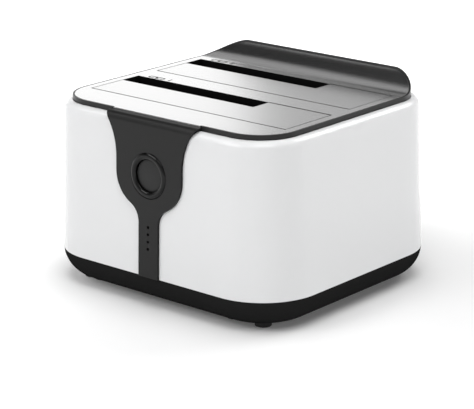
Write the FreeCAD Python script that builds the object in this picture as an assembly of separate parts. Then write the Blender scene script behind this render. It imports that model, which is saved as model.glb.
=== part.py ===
import FreeCAD, Part
import math
import os

# Dual-bay drive duplicator.  Millimetres, X to the right, Y to the back, Z up.
# The origin is on the table, under the middle of the housing.

# ---------------------------------------------------------------- driving sizes
# Bays: a 101.6 x 26.1 mm drive opens the flap, a 69.85 x 9.5 mm drive fits the slot in it
BAY_LENGTH = 103.5
BAY_WIDTH = 28.1
SLOT_LENGTH = 71.9
SLOT_WIDTH = 9.9
BAY_SPACING = 11.7           # between the two bays
BAY_COUNT = 2
BAY_NAMES = ("front", "rear")
BAY_FRONT_MARGIN = 16.7      # from the deck's front edge to the first bay
BAY_FLOOR_RISE = 7.7         # from the main board to where a drive comes to rest

# Deck, with a silver sheet let into its top and a lip that curls up at the back
DECK_SIDE_MARGIN = 4.6       # from a bay's end to the deck's edge
DECK_REAR_MARGIN = 18.5      # from the last bay to the deck's back edge
DECK_CORNER = 17.6
DECK_PLASTIC = 1.5
DECK_SKIRT_WALL = 1.3
RIM_RISE = 2.0
LIP_RISE = 7.0
LIP_RADIUS = 18.0
LIP_MARGIN = 3.95            # from the last bay to the foot of the lip
PLATE_THICKNESS = 1.0
PLATE_BORDER = 0.8
PLATE_TAB_HALF = 23.0

# White sleeve round the housing
SLEEVE_HEIGHT = 63.2
SLEEVE_WALL = 2.2
SLEEVE_SHOULDER = 3.4
SLEEVE_ROUND = 3.2
SLEEVE_SPREAD_X = 3.3
SLEEVE_SPREAD_Y = 2.0
SLEEVE_CORNER_SPREAD = 4.45
LEDGE_THICKNESS = 2.0
RIM_SEAT_DEPTH = 2.0

# Base tray and feet
FOOT_STAND = 1.2
FOOT_RADIUS = 3.4
FOOT_SINK = 1.4
FOOT_INSET_X = 16.7          # from the housing's side
FOOT_INSET_Y = 15.1          # from the housing's front or back
TRAY_HEIGHT = 12.2
TRAY_DRAFT = 1.28
TRAY_ROUND = 13.0
TRAY_WALL = 3.6
TRAY_FLOOR = 2.4
TONGUE_HEIGHT = 2.5
TONGUE_WALL = 1.2

# Tie-shaped front panel
FASCIA_PROUD = 1.0
FASCIA_INLAY = 1.2
FASCIA_TOP_DROP = 0.6
FASCIA_TOP_ROUND = 3.0
TIE_TOP_HALF = 24.0
TIE_WAIST_HALF = 17.3
TIE_STEM_HALF = 5.1
TIE_FLARE_RADIUS = 26.6
TIE_BULB_RADIUS = 14.0
TIE_NECK_RADIUS = 8.0

# Copy button and lamps
BUTTON_DROP = 23.3           # below the deck
BUTTON_RADIUS = 6.5
BUTTON_TRAVEL = 0.8
BEZEL_RADIUS = 9.3
BEZEL_TUBE_WALL = 1.3
BEZEL_SINK = 0.5
BEZEL_RISE = 0.6
CAP_FLANGE = 1.1
CAP_SHELL = 1.2
STEM_RADIUS = 1.7
LAMP_COUNT = 4
LAMP_PITCH = 3.0
LAMP_RISE = 11.9             # the lowest lamp, above the seam
LAMP_RADIUS = 0.65
LAMP_MARGIN = 0.3

# Flap hinge
FLAP_THICKNESS = 1.6
FLAP_RIB = 1.2
FLAP_GAP = 0.3
FLAP_REAR_GAP = 0.5
FLAP_CORNER = 1.0
HINGE_SETBACK = 3.9
HINGE_DROP = 4.4
HINGE_PIN_RADIUS = 0.8
HINGE_BARREL_RADIUS = 1.5
ARM_WIDTH = 4.0
ARM_INSET = 4.75             # from the bay's end to the middle of an arm
ARM_REACH = 6.0
SPRING_WIRE_RADIUS = 0.3
SPRING_MEAN_RADIUS = 1.25
SPRING_PITCH = 0.8
SPRING_TURNS = 4.25          # the quarter turn sets the legs square to each other
SECTIONS_A_TURN = 12
WIRE_SIDES = 6
SPRING_LEG = 7.0
SPRING_INSET = 9.0           # from the right arm's middle to the spring

# Wells that guide the drives
GUIDE_WALL = 1.4
GUIDE_FLOOR = 1.5
POCKET_SET_BACK = 5.8
POCKET_MARGIN = 0.8
GUIDE_TAB_X = 24.0
GUIDE_TAB_HALF = 4.0
GUIDE_TAB_REACH = 6.2
GUIDE_TAB_THICKNESS = 2.0
GUIDE_BOSS_DROP = 5.0
GUIDE_LEG_THICKNESS = 2.0
GUIDE_LEG_WIDTH = 6.0
GUIDE_LEG_INSET = 0.4        # from the main board's edge

# Posts and screws
POST_INSET_X = 20.35         # from the deck's side
POST_FRONT_INSET = 5.55      # from the deck's front edge
POST_REAR_INSET = 9.55       # from the deck's back edge
POST_RADIUS = 3.2
POST_SEAT_RISE = 6.6         # above the seam
TOWER_RADIUS = 4.0
SCREW_RADIUS = 1.25
SCREW_HEAD_RADIUS = 2.6
SCREW_HEAD_HEIGHT = 1.8
SCREW_LENGTH = 20.0
SCREW_SEAT_DROP = 5.2        # below the seam
SMALL_SCREW_RADIUS = 0.85
SMALL_SCREW_HEAD_RADIUS = 1.9
SMALL_SCREW_HEAD_HEIGHT = 1.2
SMALL_SCREW_LENGTH = 5.0
CROSS_REACH = 0.6            # the driver's cross, as shares of the head's radius
CROSS_ARM = 0.13
CROSS_FLOOR = 0.45           # the cross's floor, as a share of the head's height

# Circuit boards
BOARD_THICKNESS = 1.6
MAIN_BOARD_DROP = 0.2        # its underside, below the seam
MAIN_BOARD_SIDE_GAP = 13.2   # from the housing's side
MAIN_BOARD_FRONT_GAP = 16.1
MAIN_BOARD_REAR_GAP = 8.1
MAIN_BOARD_CORNER = 14.0
BOARD_SCREW_INSET = 6.0      # from the board's side
BOARD_SCREW_FRONT_INSET = 13.0
BOARD_SCREW_REAR_INSET = 31.0
BOARD_BOSS_RADIUS = 3.0
FRONT_BOARD_HALF_X = 15.0
FRONT_BOARD_RISE = 3.6        # its bottom edge, above the seam
FRONT_BOARD_DROP = 12.6       # its top edge, below the deck
FRONT_BOARD_REAR_GAP = 2.45   # to the front wall of the flap pocket
FRONT_SCREW_X = 12.0
FRONT_SCREW_INSET = 4.0       # from the board's top and bottom edges
FRONT_BOSS_RADIUS = 2.4

# Drive connectors
CONNECTOR_LENGTH = 38.0
CONNECTOR_WIDTH = 5.4
CONNECTOR_HEIGHT = 9.2
CONNECTOR_LEFT_GAP = 5.2      # from the bay's left wall
CONNECTOR_SLOT_DEPTH = 6.0
CONNECTOR_SLOT_WIDTH = 1.5
DATA_SLOT = 10.6
POWER_SLOT = 21.2
CONTACT_PITCH = 1.27
CONTACT_WIDTH = 0.6
CONTACT_THICKNESS = 0.3
DATA_CONTACTS = 7
POWER_CONTACTS = 15

# Rear ports
REAR_PANEL_HALF_X = 33.0
REAR_PANEL_HEIGHT = 25.0
REAR_PANEL_CORNER = 6.0
REAR_PANEL_THICKNESS = 2.5
REAR_PANEL_LEDGE = 3.0
PORT_X = -16.0
PORT_HALF_WIDTH = 6.0
PORT_HEIGHT = 12.6
PORT_LENGTH = 17.4
PORT_SHELL = 0.4
PORT_NARROWING = 0.73        # the upper part's share of the width
PORT_SHOULDER = 0.55         # the wide part's share of the height
PORT_POST_HALF = 2.7
PORT_POST_RISE = 2.4
PORT_POST_HEIGHT = 3.0
PORT_TONGUE_RISE = 8.6
PORT_TONGUE_HEIGHT = 1.6
JACK_X = 2.0
JACK_HALF_WIDTH = 4.5
JACK_HEIGHT = 11.0
JACK_BORE_RADIUS = 3.2
JACK_PIN_RADIUS = 1.0
JACK_PIN_RECESS = 1.0        # the pin's tip, behind the nose's end
JACK_NOSE_RADIUS = 4.3
JACK_BORE_DEPTH = 9.5
ROCKER_INSET = 13.0          # from the rear panel's side
ROCKER_RISE = 12.6           # above the seam
ROCKER_HALF_WIDTH = 3.1
ROCKER_RADIUS = 5.0
ROCKER_TILT = 10.0
ROCKER_SINK = 3.75           # the pivot, behind the rear panel's face
ROCKER_CROWN = 3.1           # from the pivot to the face's ends
ROCKER_TAIL = 2.25           # from the pivot to the flat back
SWITCH_HALF_WIDTH = 5.0
SWITCH_HALF_HEIGHT = 7.0
SWITCH_FLANGE = 1.2
SWITCH_DEPTH = 11.0
ROCKER_PIN_RADIUS = 0.7

# Chips, capacitors and coil on the main board, and the ribbon to the front board
CHIP_HEIGHT = 1.4
BRIDGE_CHIP = (12.0, 12.0)
MEMORY_CHIP = (8.0, 5.0)
REGULATOR_CHIP = (6.5, 6.0)
CAPACITOR_RADIUS = 3.0
CAPACITOR_HEIGHT = 8.0
COIL_SIZE = 7.0
COIL_HEIGHT = 4.0
RIBBON_HALF_WIDTH = 5.0
RIBBON_THICKNESS = 0.6
RIBBON_BEND = 1.8
HEADER_MARGIN = 1.0
HEADER_HEIGHT = 3.2
HEADER_LENGTH = 5.0
FRONT_HEADER_RISE = 5.0

# Clearances
FIT = 0.05
SLIDE_FIT = 0.1
RIM_GAP = 0.15
LOOSE = 0.3

# ---------------------------------------------------------------- worked-out places
TRAY_Z = FOOT_STAND
SLEEVE_Z = TRAY_Z + TRAY_HEIGHT
SHOULDER_Z = SLEEVE_Z + SLEEVE_HEIGHT
BAY_PITCH = BAY_WIDTH + BAY_SPACING
DECK_HALF_X = BAY_LENGTH / 2 + DECK_SIDE_MARGIN
DECK_HALF_Y = (BAY_FRONT_MARGIN + (BAY_COUNT - 1) * BAY_PITCH + BAY_WIDTH + DECK_REAR_MARGIN) / 2
DECK_Z = SHOULDER_Z + RIM_RISE
LIP_Z = DECK_Z + LIP_RISE
DECK_UNDERSIDE_Z = DECK_Z - PLATE_THICKNESS - DECK_PLASTIC
RIM_SEAT_Z = SHOULDER_Z - RIM_SEAT_DEPTH
LIP_Y = DECK_HALF_Y - DECK_REAR_MARGIN + LIP_MARGIN
HOUSING_HALF_X = DECK_HALF_X + RIM_GAP + SLEEVE_SHOULDER + SLEEVE_SPREAD_X
HOUSING_HALF_Y = DECK_HALF_Y + RIM_GAP + SLEEVE_SHOULDER + SLEEVE_SPREAD_Y
BAY_HALF_X = BAY_LENGTH / 2
ARM_X = BAY_HALF_X - ARM_INSET
SPRING_X = ARM_X - SPRING_INSET
PANEL_FRONT_LIMIT = HOUSING_HALF_Y + FASCIA_PROUD
FASCIA_TOP_Z = DECK_Z - FASCIA_TOP_DROP
FASCIA_SEAT_Z = SHOULDER_Z - FASCIA_INLAY
MAIN_BOARD_Z = SLEEVE_Z - MAIN_BOARD_DROP
BOARD_TOP_Z = MAIN_BOARD_Z + BOARD_THICKNESS
BAY_FLOOR_Z = BOARD_TOP_Z + BAY_FLOOR_RISE
MAIN_BOARD_HALF_X = HOUSING_HALF_X - MAIN_BOARD_SIDE_GAP
MAIN_BOARD_FRONT_Y = -HOUSING_HALF_Y + MAIN_BOARD_FRONT_GAP
MAIN_BOARD_REAR_Y = HOUSING_HALF_Y - MAIN_BOARD_REAR_GAP
BOARD_SCREW_X = MAIN_BOARD_HALF_X - BOARD_SCREW_INSET
BOARD_SCREW_FRONT_Y = MAIN_BOARD_FRONT_Y + BOARD_SCREW_FRONT_INSET
BOARD_SCREW_REAR_Y = MAIN_BOARD_REAR_Y - BOARD_SCREW_REAR_INSET
FRONT_BOARD_BOTTOM_Z = SLEEVE_Z + FRONT_BOARD_RISE
FRONT_BOARD_TOP_Z = DECK_Z - FRONT_BOARD_DROP
FRONT_SCREW_LOW_Z = FRONT_BOARD_BOTTOM_Z + FRONT_SCREW_INSET
FRONT_SCREW_HIGH_Z = FRONT_BOARD_TOP_Z - FRONT_SCREW_INSET
POST_X = DECK_HALF_X - POST_INSET_X
POST_FRONT_Y = -DECK_HALF_Y + POST_FRONT_INSET
POST_REAR_Y = DECK_HALF_Y - POST_REAR_INSET
POST_BOTTOM_Z = SLEEVE_Z + POST_SEAT_RISE
SCREW_SEAT_Z = SLEEVE_Z - SCREW_SEAT_DROP
FOOT_X = HOUSING_HALF_X - FOOT_INSET_X
FOOT_Y = HOUSING_HALF_Y - FOOT_INSET_Y
BUTTON_Z = DECK_Z - BUTTON_DROP
LAMP_LOWEST_Z = SLEEVE_Z + LAMP_RISE
ROCKER_X = REAR_PANEL_HALF_X - ROCKER_INSET
ROCKER_Z = SLEEVE_Z + ROCKER_RISE
FRONT_HEADER_Z = FRONT_BOARD_BOTTOM_Z + FRONT_HEADER_RISE
HINGE_Z = DECK_Z - HINGE_DROP
BEYOND = 5.0                  # how far a large cutting tool runs past what it cuts
OVERCUT = 1.0                 # how far a drill or a small tool runs past a face


def vector(x, y, z):
    """A point or a direction."""
    return FreeCAD.Vector(x, y, z)


RIGHT = vector(1, 0, 0)
BACK = vector(0, 1, 0)
UP = vector(0, 0, 1)


# ---------------------------------------------------------------- shape helpers
def box(x_range, y_range, z_range):
    """A box between three pairs of limits."""
    low = vector(x_range[0], y_range[0], z_range[0])
    return Part.makeBox(x_range[1] - x_range[0], y_range[1] - y_range[0], z_range[1] - z_range[0], low)


def rod_x(radius, y, z, x_low, x_high):
    """A round bar along X."""
    return Part.makeCylinder(radius, x_high - x_low, vector(x_low, y, z), RIGHT)


def rod_y(radius, x, z, y_low, y_high):
    """A round bar along Y."""
    return Part.makeCylinder(radius, y_high - y_low, vector(x, y_low, z), BACK)


def rod_z(radius, x, y, z_low, z_high):
    """A round bar along Z."""
    return Part.makeCylinder(radius, z_high - z_low, vector(x, y, z_low), UP)


def fused(shapes):
    """One solid from pieces that meet."""
    return shapes[0].multiFuse(shapes[1:]).removeSplitter()


def rounded_outline(half_x, half_y, radius, z):
    """A rounded rectangle about the Z axis, as a wire."""
    inner_x = half_x - radius
    inner_y = half_y - radius
    corners = [
        Part.makeCircle(radius, vector(inner_x, inner_y, z), UP, 0, 90),
        Part.makeCircle(radius, vector(-inner_x, inner_y, z), UP, 90, 180),
        Part.makeCircle(radius, vector(-inner_x, -inner_y, z), UP, 180, 270),
        Part.makeCircle(radius, vector(inner_x, -inner_y, z), UP, 270, 360),
    ]
    sides = [
        Part.makeLine(vector(inner_x, half_y, z), vector(-inner_x, half_y, z)),
        Part.makeLine(vector(-half_x, inner_y, z), vector(-half_x, -inner_y, z)),
        Part.makeLine(vector(-inner_x, -half_y, z), vector(inner_x, -half_y, z)),
        Part.makeLine(vector(half_x, -inner_y, z), vector(half_x, inner_y, z)),
    ]
    edges = []
    for corner, side in zip(corners, sides):
        edges += [corner, side]
    return Part.Wire(edges)


def rounded_block(half_x, half_y, radius, z_low, z_high):
    """An upright block with a rounded-rectangle plan."""
    return Part.Face(rounded_outline(half_x, half_y, radius, z_low)).extrude(UP * (z_high - z_low))


def tapered_block(lower, upper):
    """A block between two rounded rectangles, each (half_x, half_y, radius, z)."""
    return Part.makeLoft([rounded_outline(*lower), rounded_outline(*upper)], True, True)


def edges_at_height(shape, z):
    """The edges that lie at one height."""
    return [
        edge for edge in shape.Edges
        if abs(edge.BoundBox.ZMin - z) < FIT and edge.BoundBox.ZLength < FIT
    ]


def side_extrusion(points, x_low, x_high):
    """A profile of (y, z) corners, carried along X."""
    corners = [vector(x_low, y, z) for y, z in points]
    return Part.Face(Part.makePolygon(corners + corners[:1])).extrude(RIGHT * (x_high - x_low))


def rear_extrusion(points, y_low, y_high):
    """A profile of (x, z) corners, carried along Y."""
    corners = [vector(x, y_low, z) for x, z in points]
    return Part.Face(Part.makePolygon(corners + corners[:1])).extrude(BACK * (y_high - y_low))


def bay_front_y(bay):
    """The front edge of one bay's opening."""
    return -DECK_HALF_Y + BAY_FRONT_MARGIN + bay * BAY_PITCH


def bay_rear_y(bay):
    """The rear edge of one bay's opening."""
    return bay_front_y(bay) + BAY_WIDTH


def sleeve_section(z, inset):
    """The sleeve's outline at one height, moved inwards by an inset."""
    rise = (z - SLEEVE_Z) / SLEEVE_HEIGHT
    half_x = HOUSING_HALF_X - SLEEVE_SPREAD_X * rise
    half_y = HOUSING_HALF_Y - SLEEVE_SPREAD_Y * rise
    top_radius = DECK_CORNER + RIM_GAP + SLEEVE_SHOULDER
    radius = top_radius + SLEEVE_CORNER_SPREAD * (1 - rise)
    return (half_x - inset, half_y - inset, radius - inset, z)


def sleeve_front_y(z, inset=0.0):
    """The sleeve's front face at one height."""
    return -sleeve_section(z, inset)[1]


# ---------------------------------------------------------------- deck
def under_deck_line(depth, z_low, half_y):
    """All that lies under the deck's top line, lowered square to itself by a depth."""
    foot = vector(0, LIP_Y, DECK_Z - depth)
    centre_z = DECK_Z + LIP_RADIUS
    radius = LIP_RADIUS + depth
    end_angle = math.asin(min(1.0, (half_y - LIP_Y) / radius))
    half_angle = end_angle / 2
    middle = vector(0, LIP_Y + radius * math.sin(half_angle), centre_z - radius * math.cos(half_angle))
    end = vector(0, half_y, centre_z - radius * math.cos(end_angle))
    front_top = vector(0, -half_y, DECK_Z - depth)
    front_low = vector(0, -half_y, z_low)
    rear_low = vector(0, half_y, z_low)
    edges = [
        Part.makeLine(front_low, front_top),
        Part.makeLine(front_top, foot),
        Part.Arc(foot, middle, end).toShape(),
        Part.makeLine(end, rear_low),
        Part.makeLine(rear_low, front_low),
    ]
    face = Part.Face(Part.Wire(edges))
    face.translate(-RIGHT * HOUSING_HALF_X)
    return face.extrude(RIGHT * (2 * HOUSING_HALF_X))


def deck_outline_block(inset, z_low, z_high):
    """The deck's plan, moved inwards by an inset, as a block."""
    return rounded_block(DECK_HALF_X - inset, DECK_HALF_Y - inset, DECK_CORNER - inset, z_low, z_high)


def plate_plan(gap):
    """The plan of the silver sheet with its front tab, as a tall block."""
    sheet = deck_outline_block(PLATE_BORDER + gap, POST_BOTTOM_Z, LIP_Z + BEYOND)
    tab_half = PLATE_TAB_HALF - gap
    tab_reach = (-DECK_HALF_Y, -DECK_HALF_Y + 2 * PLATE_BORDER)
    tab = box((-tab_half, tab_half), tab_reach, (POST_BOTTOM_Z, LIP_Z))
    return sheet.fuse(tab)


def bay_openings(z_low, z_high):
    """The two rectangles that drives pass through."""
    return [
        box((-BAY_HALF_X, BAY_HALF_X), (bay_front_y(bay), bay_rear_y(bay)), (z_low, z_high))
        for bay in range(BAY_COUNT)
    ]


def guide_tab_y(bay):
    """The screw line of one guide's tabs: the front guide's in front, the rear guide's behind."""
    middle = GUIDE_TAB_REACH / 2
    if bay == 0:
        return bay_front_y(bay) - POCKET_SET_BACK - GUIDE_WALL - middle
    return bay_rear_y(bay) + GUIDE_WALL + middle


def post_places():
    """The four posts, in plan."""
    return [(side * POST_X, y) for side in (-1, 1) for y in (POST_FRONT_Y, POST_REAR_Y)]


def guide_screw_places():
    """The screws that hold the guides, in plan."""
    return [(side * GUIDE_TAB_X, guide_tab_y(bay)) for bay in range(BAY_COUNT) for side in (-1, 1)]


def top_deck():
    """The dark deck: rim, curled lip, skirt, long posts and guide bosses."""
    reach = DECK_HALF_Y + BEYOND
    body = deck_outline_block(0, RIM_SEAT_Z, LIP_Z).common(under_deck_line(0, RIM_SEAT_Z, reach))
    depth = PLATE_THICKNESS + DECK_PLASTIC
    hollow = deck_outline_block(DECK_SKIRT_WALL, RIM_SEAT_Z - OVERCUT, LIP_Z).common(
        under_deck_line(depth, RIM_SEAT_Z - OVERCUT, reach)
    )
    body = body.cut(hollow)
    filled = under_deck_line(PLATE_THICKNESS + DECK_PLASTIC / 2, POST_BOTTOM_Z, reach)
    additions = []
    for x, y in post_places():
        additions.append(rod_z(POST_RADIUS, x, y, POST_BOTTOM_Z, LIP_Z).common(filled))
    boss_bottom = DECK_UNDERSIDE_Z - GUIDE_BOSS_DROP
    for x, y in guide_screw_places():
        additions.append(rod_z(FRONT_BOSS_RADIUS, x, y, boss_bottom, LIP_Z).common(filled))
    body = fused([body] + additions)
    above_pocket = plate_plan(0).cut(under_deck_line(PLATE_THICKNESS, POST_BOTTOM_Z - OVERCUT, reach))
    cuts = [above_pocket] + bay_openings(RIM_SEAT_Z - OVERCUT, LIP_Z)
    hole_top = SCREW_SEAT_Z + SCREW_LENGTH + OVERCUT
    for x, y in post_places():
        cuts.append(rod_z(SCREW_RADIUS + FIT, x, y, POST_BOTTOM_Z - OVERCUT, hole_top))
    boss_hole_top = boss_bottom + GUIDE_BOSS_DROP - LOOSE
    for x, y in guide_screw_places():
        cuts.append(rod_z(SMALL_SCREW_RADIUS + FIT, x, y, boss_bottom - OVERCUT, boss_hole_top))
    return body.cut(cuts)


def deck_plate():
    """The silver sheet that lines the deck and follows the lip."""
    reach = DECK_HALF_Y + BEYOND
    below_sheet = under_deck_line(PLATE_THICKNESS, POST_BOTTOM_Z - OVERCUT, reach)
    band = under_deck_line(0, POST_BOTTOM_Z, reach).cut(below_sheet)
    limit = deck_outline_block(0, POST_BOTTOM_Z, LIP_Z)
    return band.common(plate_plan(FIT)).common(limit).cut(bay_openings(POST_BOTTOM_Z, LIP_Z))


# ---------------------------------------------------------------- flaps
def flap_plan(bay, inset, z_low, z_high):
    """The L-shaped plan of a flap, whose rear left corner is cut away for the slot."""
    left = -BAY_HALF_X + FLAP_GAP + inset
    right = BAY_HALF_X - FLAP_GAP - inset
    front = bay_front_y(bay) + FLAP_GAP + inset
    rear = bay_rear_y(bay) - FLAP_REAR_GAP - inset
    slot_x = -BAY_HALF_X + SLOT_LENGTH + inset
    slot_y = bay_rear_y(bay) - SLOT_WIDTH - inset
    corners = [
        (left, front), (right, front), (right, rear),
        (slot_x, rear), (slot_x, slot_y), (left, slot_y),
    ]
    points = [vector(x, y, z_low) for x, y in corners]
    return Part.Face(Part.makePolygon(points + points[:1])).extrude(UP * (z_high - z_low))


def flap_arm(bay, x):
    """One hinge arm: a barrel on the pin, a stop pad under the deck and a web under the panel."""
    pin_y = bay_front_y(bay) - HINGE_SETBACK
    panel_z = DECK_Z - FLAP_THICKNESS
    stop_z = DECK_UNDERSIDE_Z - FIT
    web_y = bay_front_y(bay) + FLAP_GAP
    web = [
        (pin_y, HINGE_Z - HINGE_BARREL_RADIUS),
        (web_y + ARM_REACH, panel_z),
        (web_y, panel_z),
        (web_y, stop_z),
        (pin_y + HINGE_BARREL_RADIUS / 2, stop_z),
        (pin_y, HINGE_Z + HINGE_BARREL_RADIUS),
    ]
    half = ARM_WIDTH / 2
    barrel = rod_x(HINGE_BARREL_RADIUS, pin_y, HINGE_Z, x - half, x + half)
    return side_extrusion(web, x - half, x + half).fuse(barrel)


def flap(bay):
    """A flap: L-shaped panel with a stiffening rib round its underside and two hinge arms."""
    panel_z = DECK_Z - FLAP_THICKNESS
    panel = flap_plan(bay, 0, panel_z, DECK_Z)
    upright = [
        edge for edge in panel.Edges
        if edge.BoundBox.ZLength > FLAP_THICKNESS / 2 and edge.Vertexes[0].X * edge.Vertexes[0].Y != 0
    ]
    panel = panel.makeFillet(FLAP_CORNER / 2, upright)
    rib_z = panel_z - FLAP_RIB
    rib = flap_plan(bay, FLAP_RIB, rib_z, panel_z).cut(flap_plan(bay, 2 * FLAP_RIB, rib_z, panel_z))
    body = fused([panel, rib, flap_arm(bay, -ARM_X), flap_arm(bay, ARM_X)])
    pin_y = bay_front_y(bay) - HINGE_SETBACK
    return body.cut(rod_x(HINGE_PIN_RADIUS + FIT, pin_y, HINGE_Z, -BAY_HALF_X, BAY_HALF_X))


def flap_pin(bay):
    """The steel pin that a flap turns on."""
    end = BAY_HALF_X + GUIDE_WALL
    return rod_x(HINGE_PIN_RADIUS, bay_front_y(bay) - HINGE_SETBACK, HINGE_Z, -end, end)


def wire_section(centre, radial):
    """The six-sided section of the spring wire at one point of its path."""
    corners = []
    for index in range(WIRE_SIDES):
        angle = 2 * math.pi * index / WIRE_SIDES
        corners.append(centre + (radial * math.cos(angle) + RIGHT * math.sin(angle)) * SPRING_WIRE_RADIUS)
    return Part.makePolygon(corners + corners[:1])


def flap_spring(bay):
    """The torsion spring that closes a flap: coils on the pin, one leg under the rib, one down the wall."""
    pin = vector(SPRING_X, bay_front_y(bay) - HINGE_SETBACK, HINGE_Z)
    steps = int(SPRING_TURNS * SECTIONS_A_TURN)
    sections = [wire_section(pin + UP * SPRING_MEAN_RADIUS + BACK * SPRING_LEG, UP)]
    for step in range(steps + 1):
        turn = 2 * math.pi * step / SECTIONS_A_TURN
        radial = vector(0, -math.sin(turn), math.cos(turn))
        along = RIGHT * (SPRING_PITCH * step / SECTIONS_A_TURN)
        sections.append(wire_section(pin + radial * SPRING_MEAN_RADIUS + along, radial))
    end = pin + RIGHT * (SPRING_PITCH * SPRING_TURNS) - BACK * SPRING_MEAN_RADIUS - UP * SPRING_LEG
    sections.append(wire_section(end, -BACK))
    return Part.makeLoft(sections, True, True)


# ---------------------------------------------------------------- wells
def guide_profile(bay, grow, floor_z, top_z):
    """The side view of a well, with the pocket that the open flap hangs in."""
    front = bay_front_y(bay) - grow
    rear = bay_rear_y(bay) + grow
    pocket_y = front - POCKET_SET_BACK
    flap_length = HINGE_SETBACK + BAY_WIDTH - FLAP_REAR_GAP
    pocket_z = HINGE_Z - flap_length - POCKET_MARGIN - grow
    step = FLAP_THICKNESS
    slope = POCKET_SET_BACK - step
    return [
        (front, floor_z),
        (front, pocket_z),
        (front - step, pocket_z),
        (pocket_y, pocket_z + slope),
        (pocket_y, top_z),
        (rear, top_z),
        (rear, floor_z),
    ]


def connector_centre_y(bay):
    """The middle of a bay's connector, under the middle of the slot."""
    return bay_rear_y(bay) - SLOT_WIDTH / 2


def bay_guide(bay):
    """A well for one bay: smooth walls, flap pocket, floor with a connector hole, tabs and legs."""
    outer_x = BAY_HALF_X + GUIDE_WALL
    bottom = BAY_FLOOR_Z - GUIDE_FLOOR
    body = side_extrusion(guide_profile(bay, GUIDE_WALL, bottom, DECK_UNDERSIDE_Z), -outer_x, outer_x)
    corner_edges = []
    for edge in body.Edges:
        bounds = edge.BoundBox
        if bounds.ZLength > GUIDE_TAB_REACH and bounds.YLength < FIT and bounds.XLength < FIT:
            corner_edges.append(edge)
    body = body.makeFillet(GUIDE_WALL, corner_edges)
    inner = guide_profile(bay, 0, BAY_FLOOR_Z, DECK_UNDERSIDE_Z + OVERCUT)
    body = body.cut(side_extrusion(inner, -BAY_HALF_X, BAY_HALF_X))
    tab_y = guide_tab_y(bay)
    tab_top = DECK_UNDERSIDE_Z - GUIDE_BOSS_DROP
    wall_side = GUIDE_WALL / 2 if bay == 0 else -GUIDE_WALL / 2
    tab_low = tab_y - GUIDE_TAB_REACH / 2 + min(0, wall_side)
    tab_high = tab_y + GUIDE_TAB_REACH / 2 + max(0, wall_side)
    leg_middle = bay_front_y(bay) + BAY_WIDTH / 2
    pieces = [body]
    for side in (-1, 1):
        x = side * GUIDE_TAB_X
        tab_width = (x - GUIDE_TAB_HALF, x + GUIDE_TAB_HALF)
        tab = box(tab_width, (tab_low, tab_high), (tab_top - GUIDE_TAB_THICKNESS, tab_top))
        pieces.append(tab)
        leg_outer = MAIN_BOARD_HALF_X - GUIDE_LEG_INSET
        leg_x = sorted((side * (leg_outer - GUIDE_LEG_THICKNESS), side * leg_outer))
        leg_y = (leg_middle - GUIDE_LEG_WIDTH / 2, leg_middle + GUIDE_LEG_WIDTH / 2)
        pieces.append(box(leg_x, leg_y, (BOARD_TOP_Z, bottom + GUIDE_FLOOR / 2)))
    body = fused(pieces)
    left = -BAY_HALF_X + CONNECTOR_LEFT_GAP
    half = CONNECTOR_WIDTH / 2 + LOOSE
    centre = connector_centre_y(bay)
    connector_x = (left - LOOSE, left + CONNECTOR_LENGTH + LOOSE)
    hinge_y = bay_front_y(bay) - HINGE_SETBACK
    cuts = [
        box(connector_x, (centre - half, centre + half), (bottom - OVERCUT, BAY_FLOOR_Z + OVERCUT)),
        rod_x(HINGE_PIN_RADIUS + FIT, hinge_y, HINGE_Z, -outer_x - OVERCUT, outer_x + OVERCUT),
    ]
    for side in (-1, 1):
        x = side * GUIDE_TAB_X
        cuts.append(rod_z(SMALL_SCREW_RADIUS + SLIDE_FIT, x, tab_y, tab_top - BEYOND, tab_top + OVERCUT))
    return body.cut(cuts)


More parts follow.
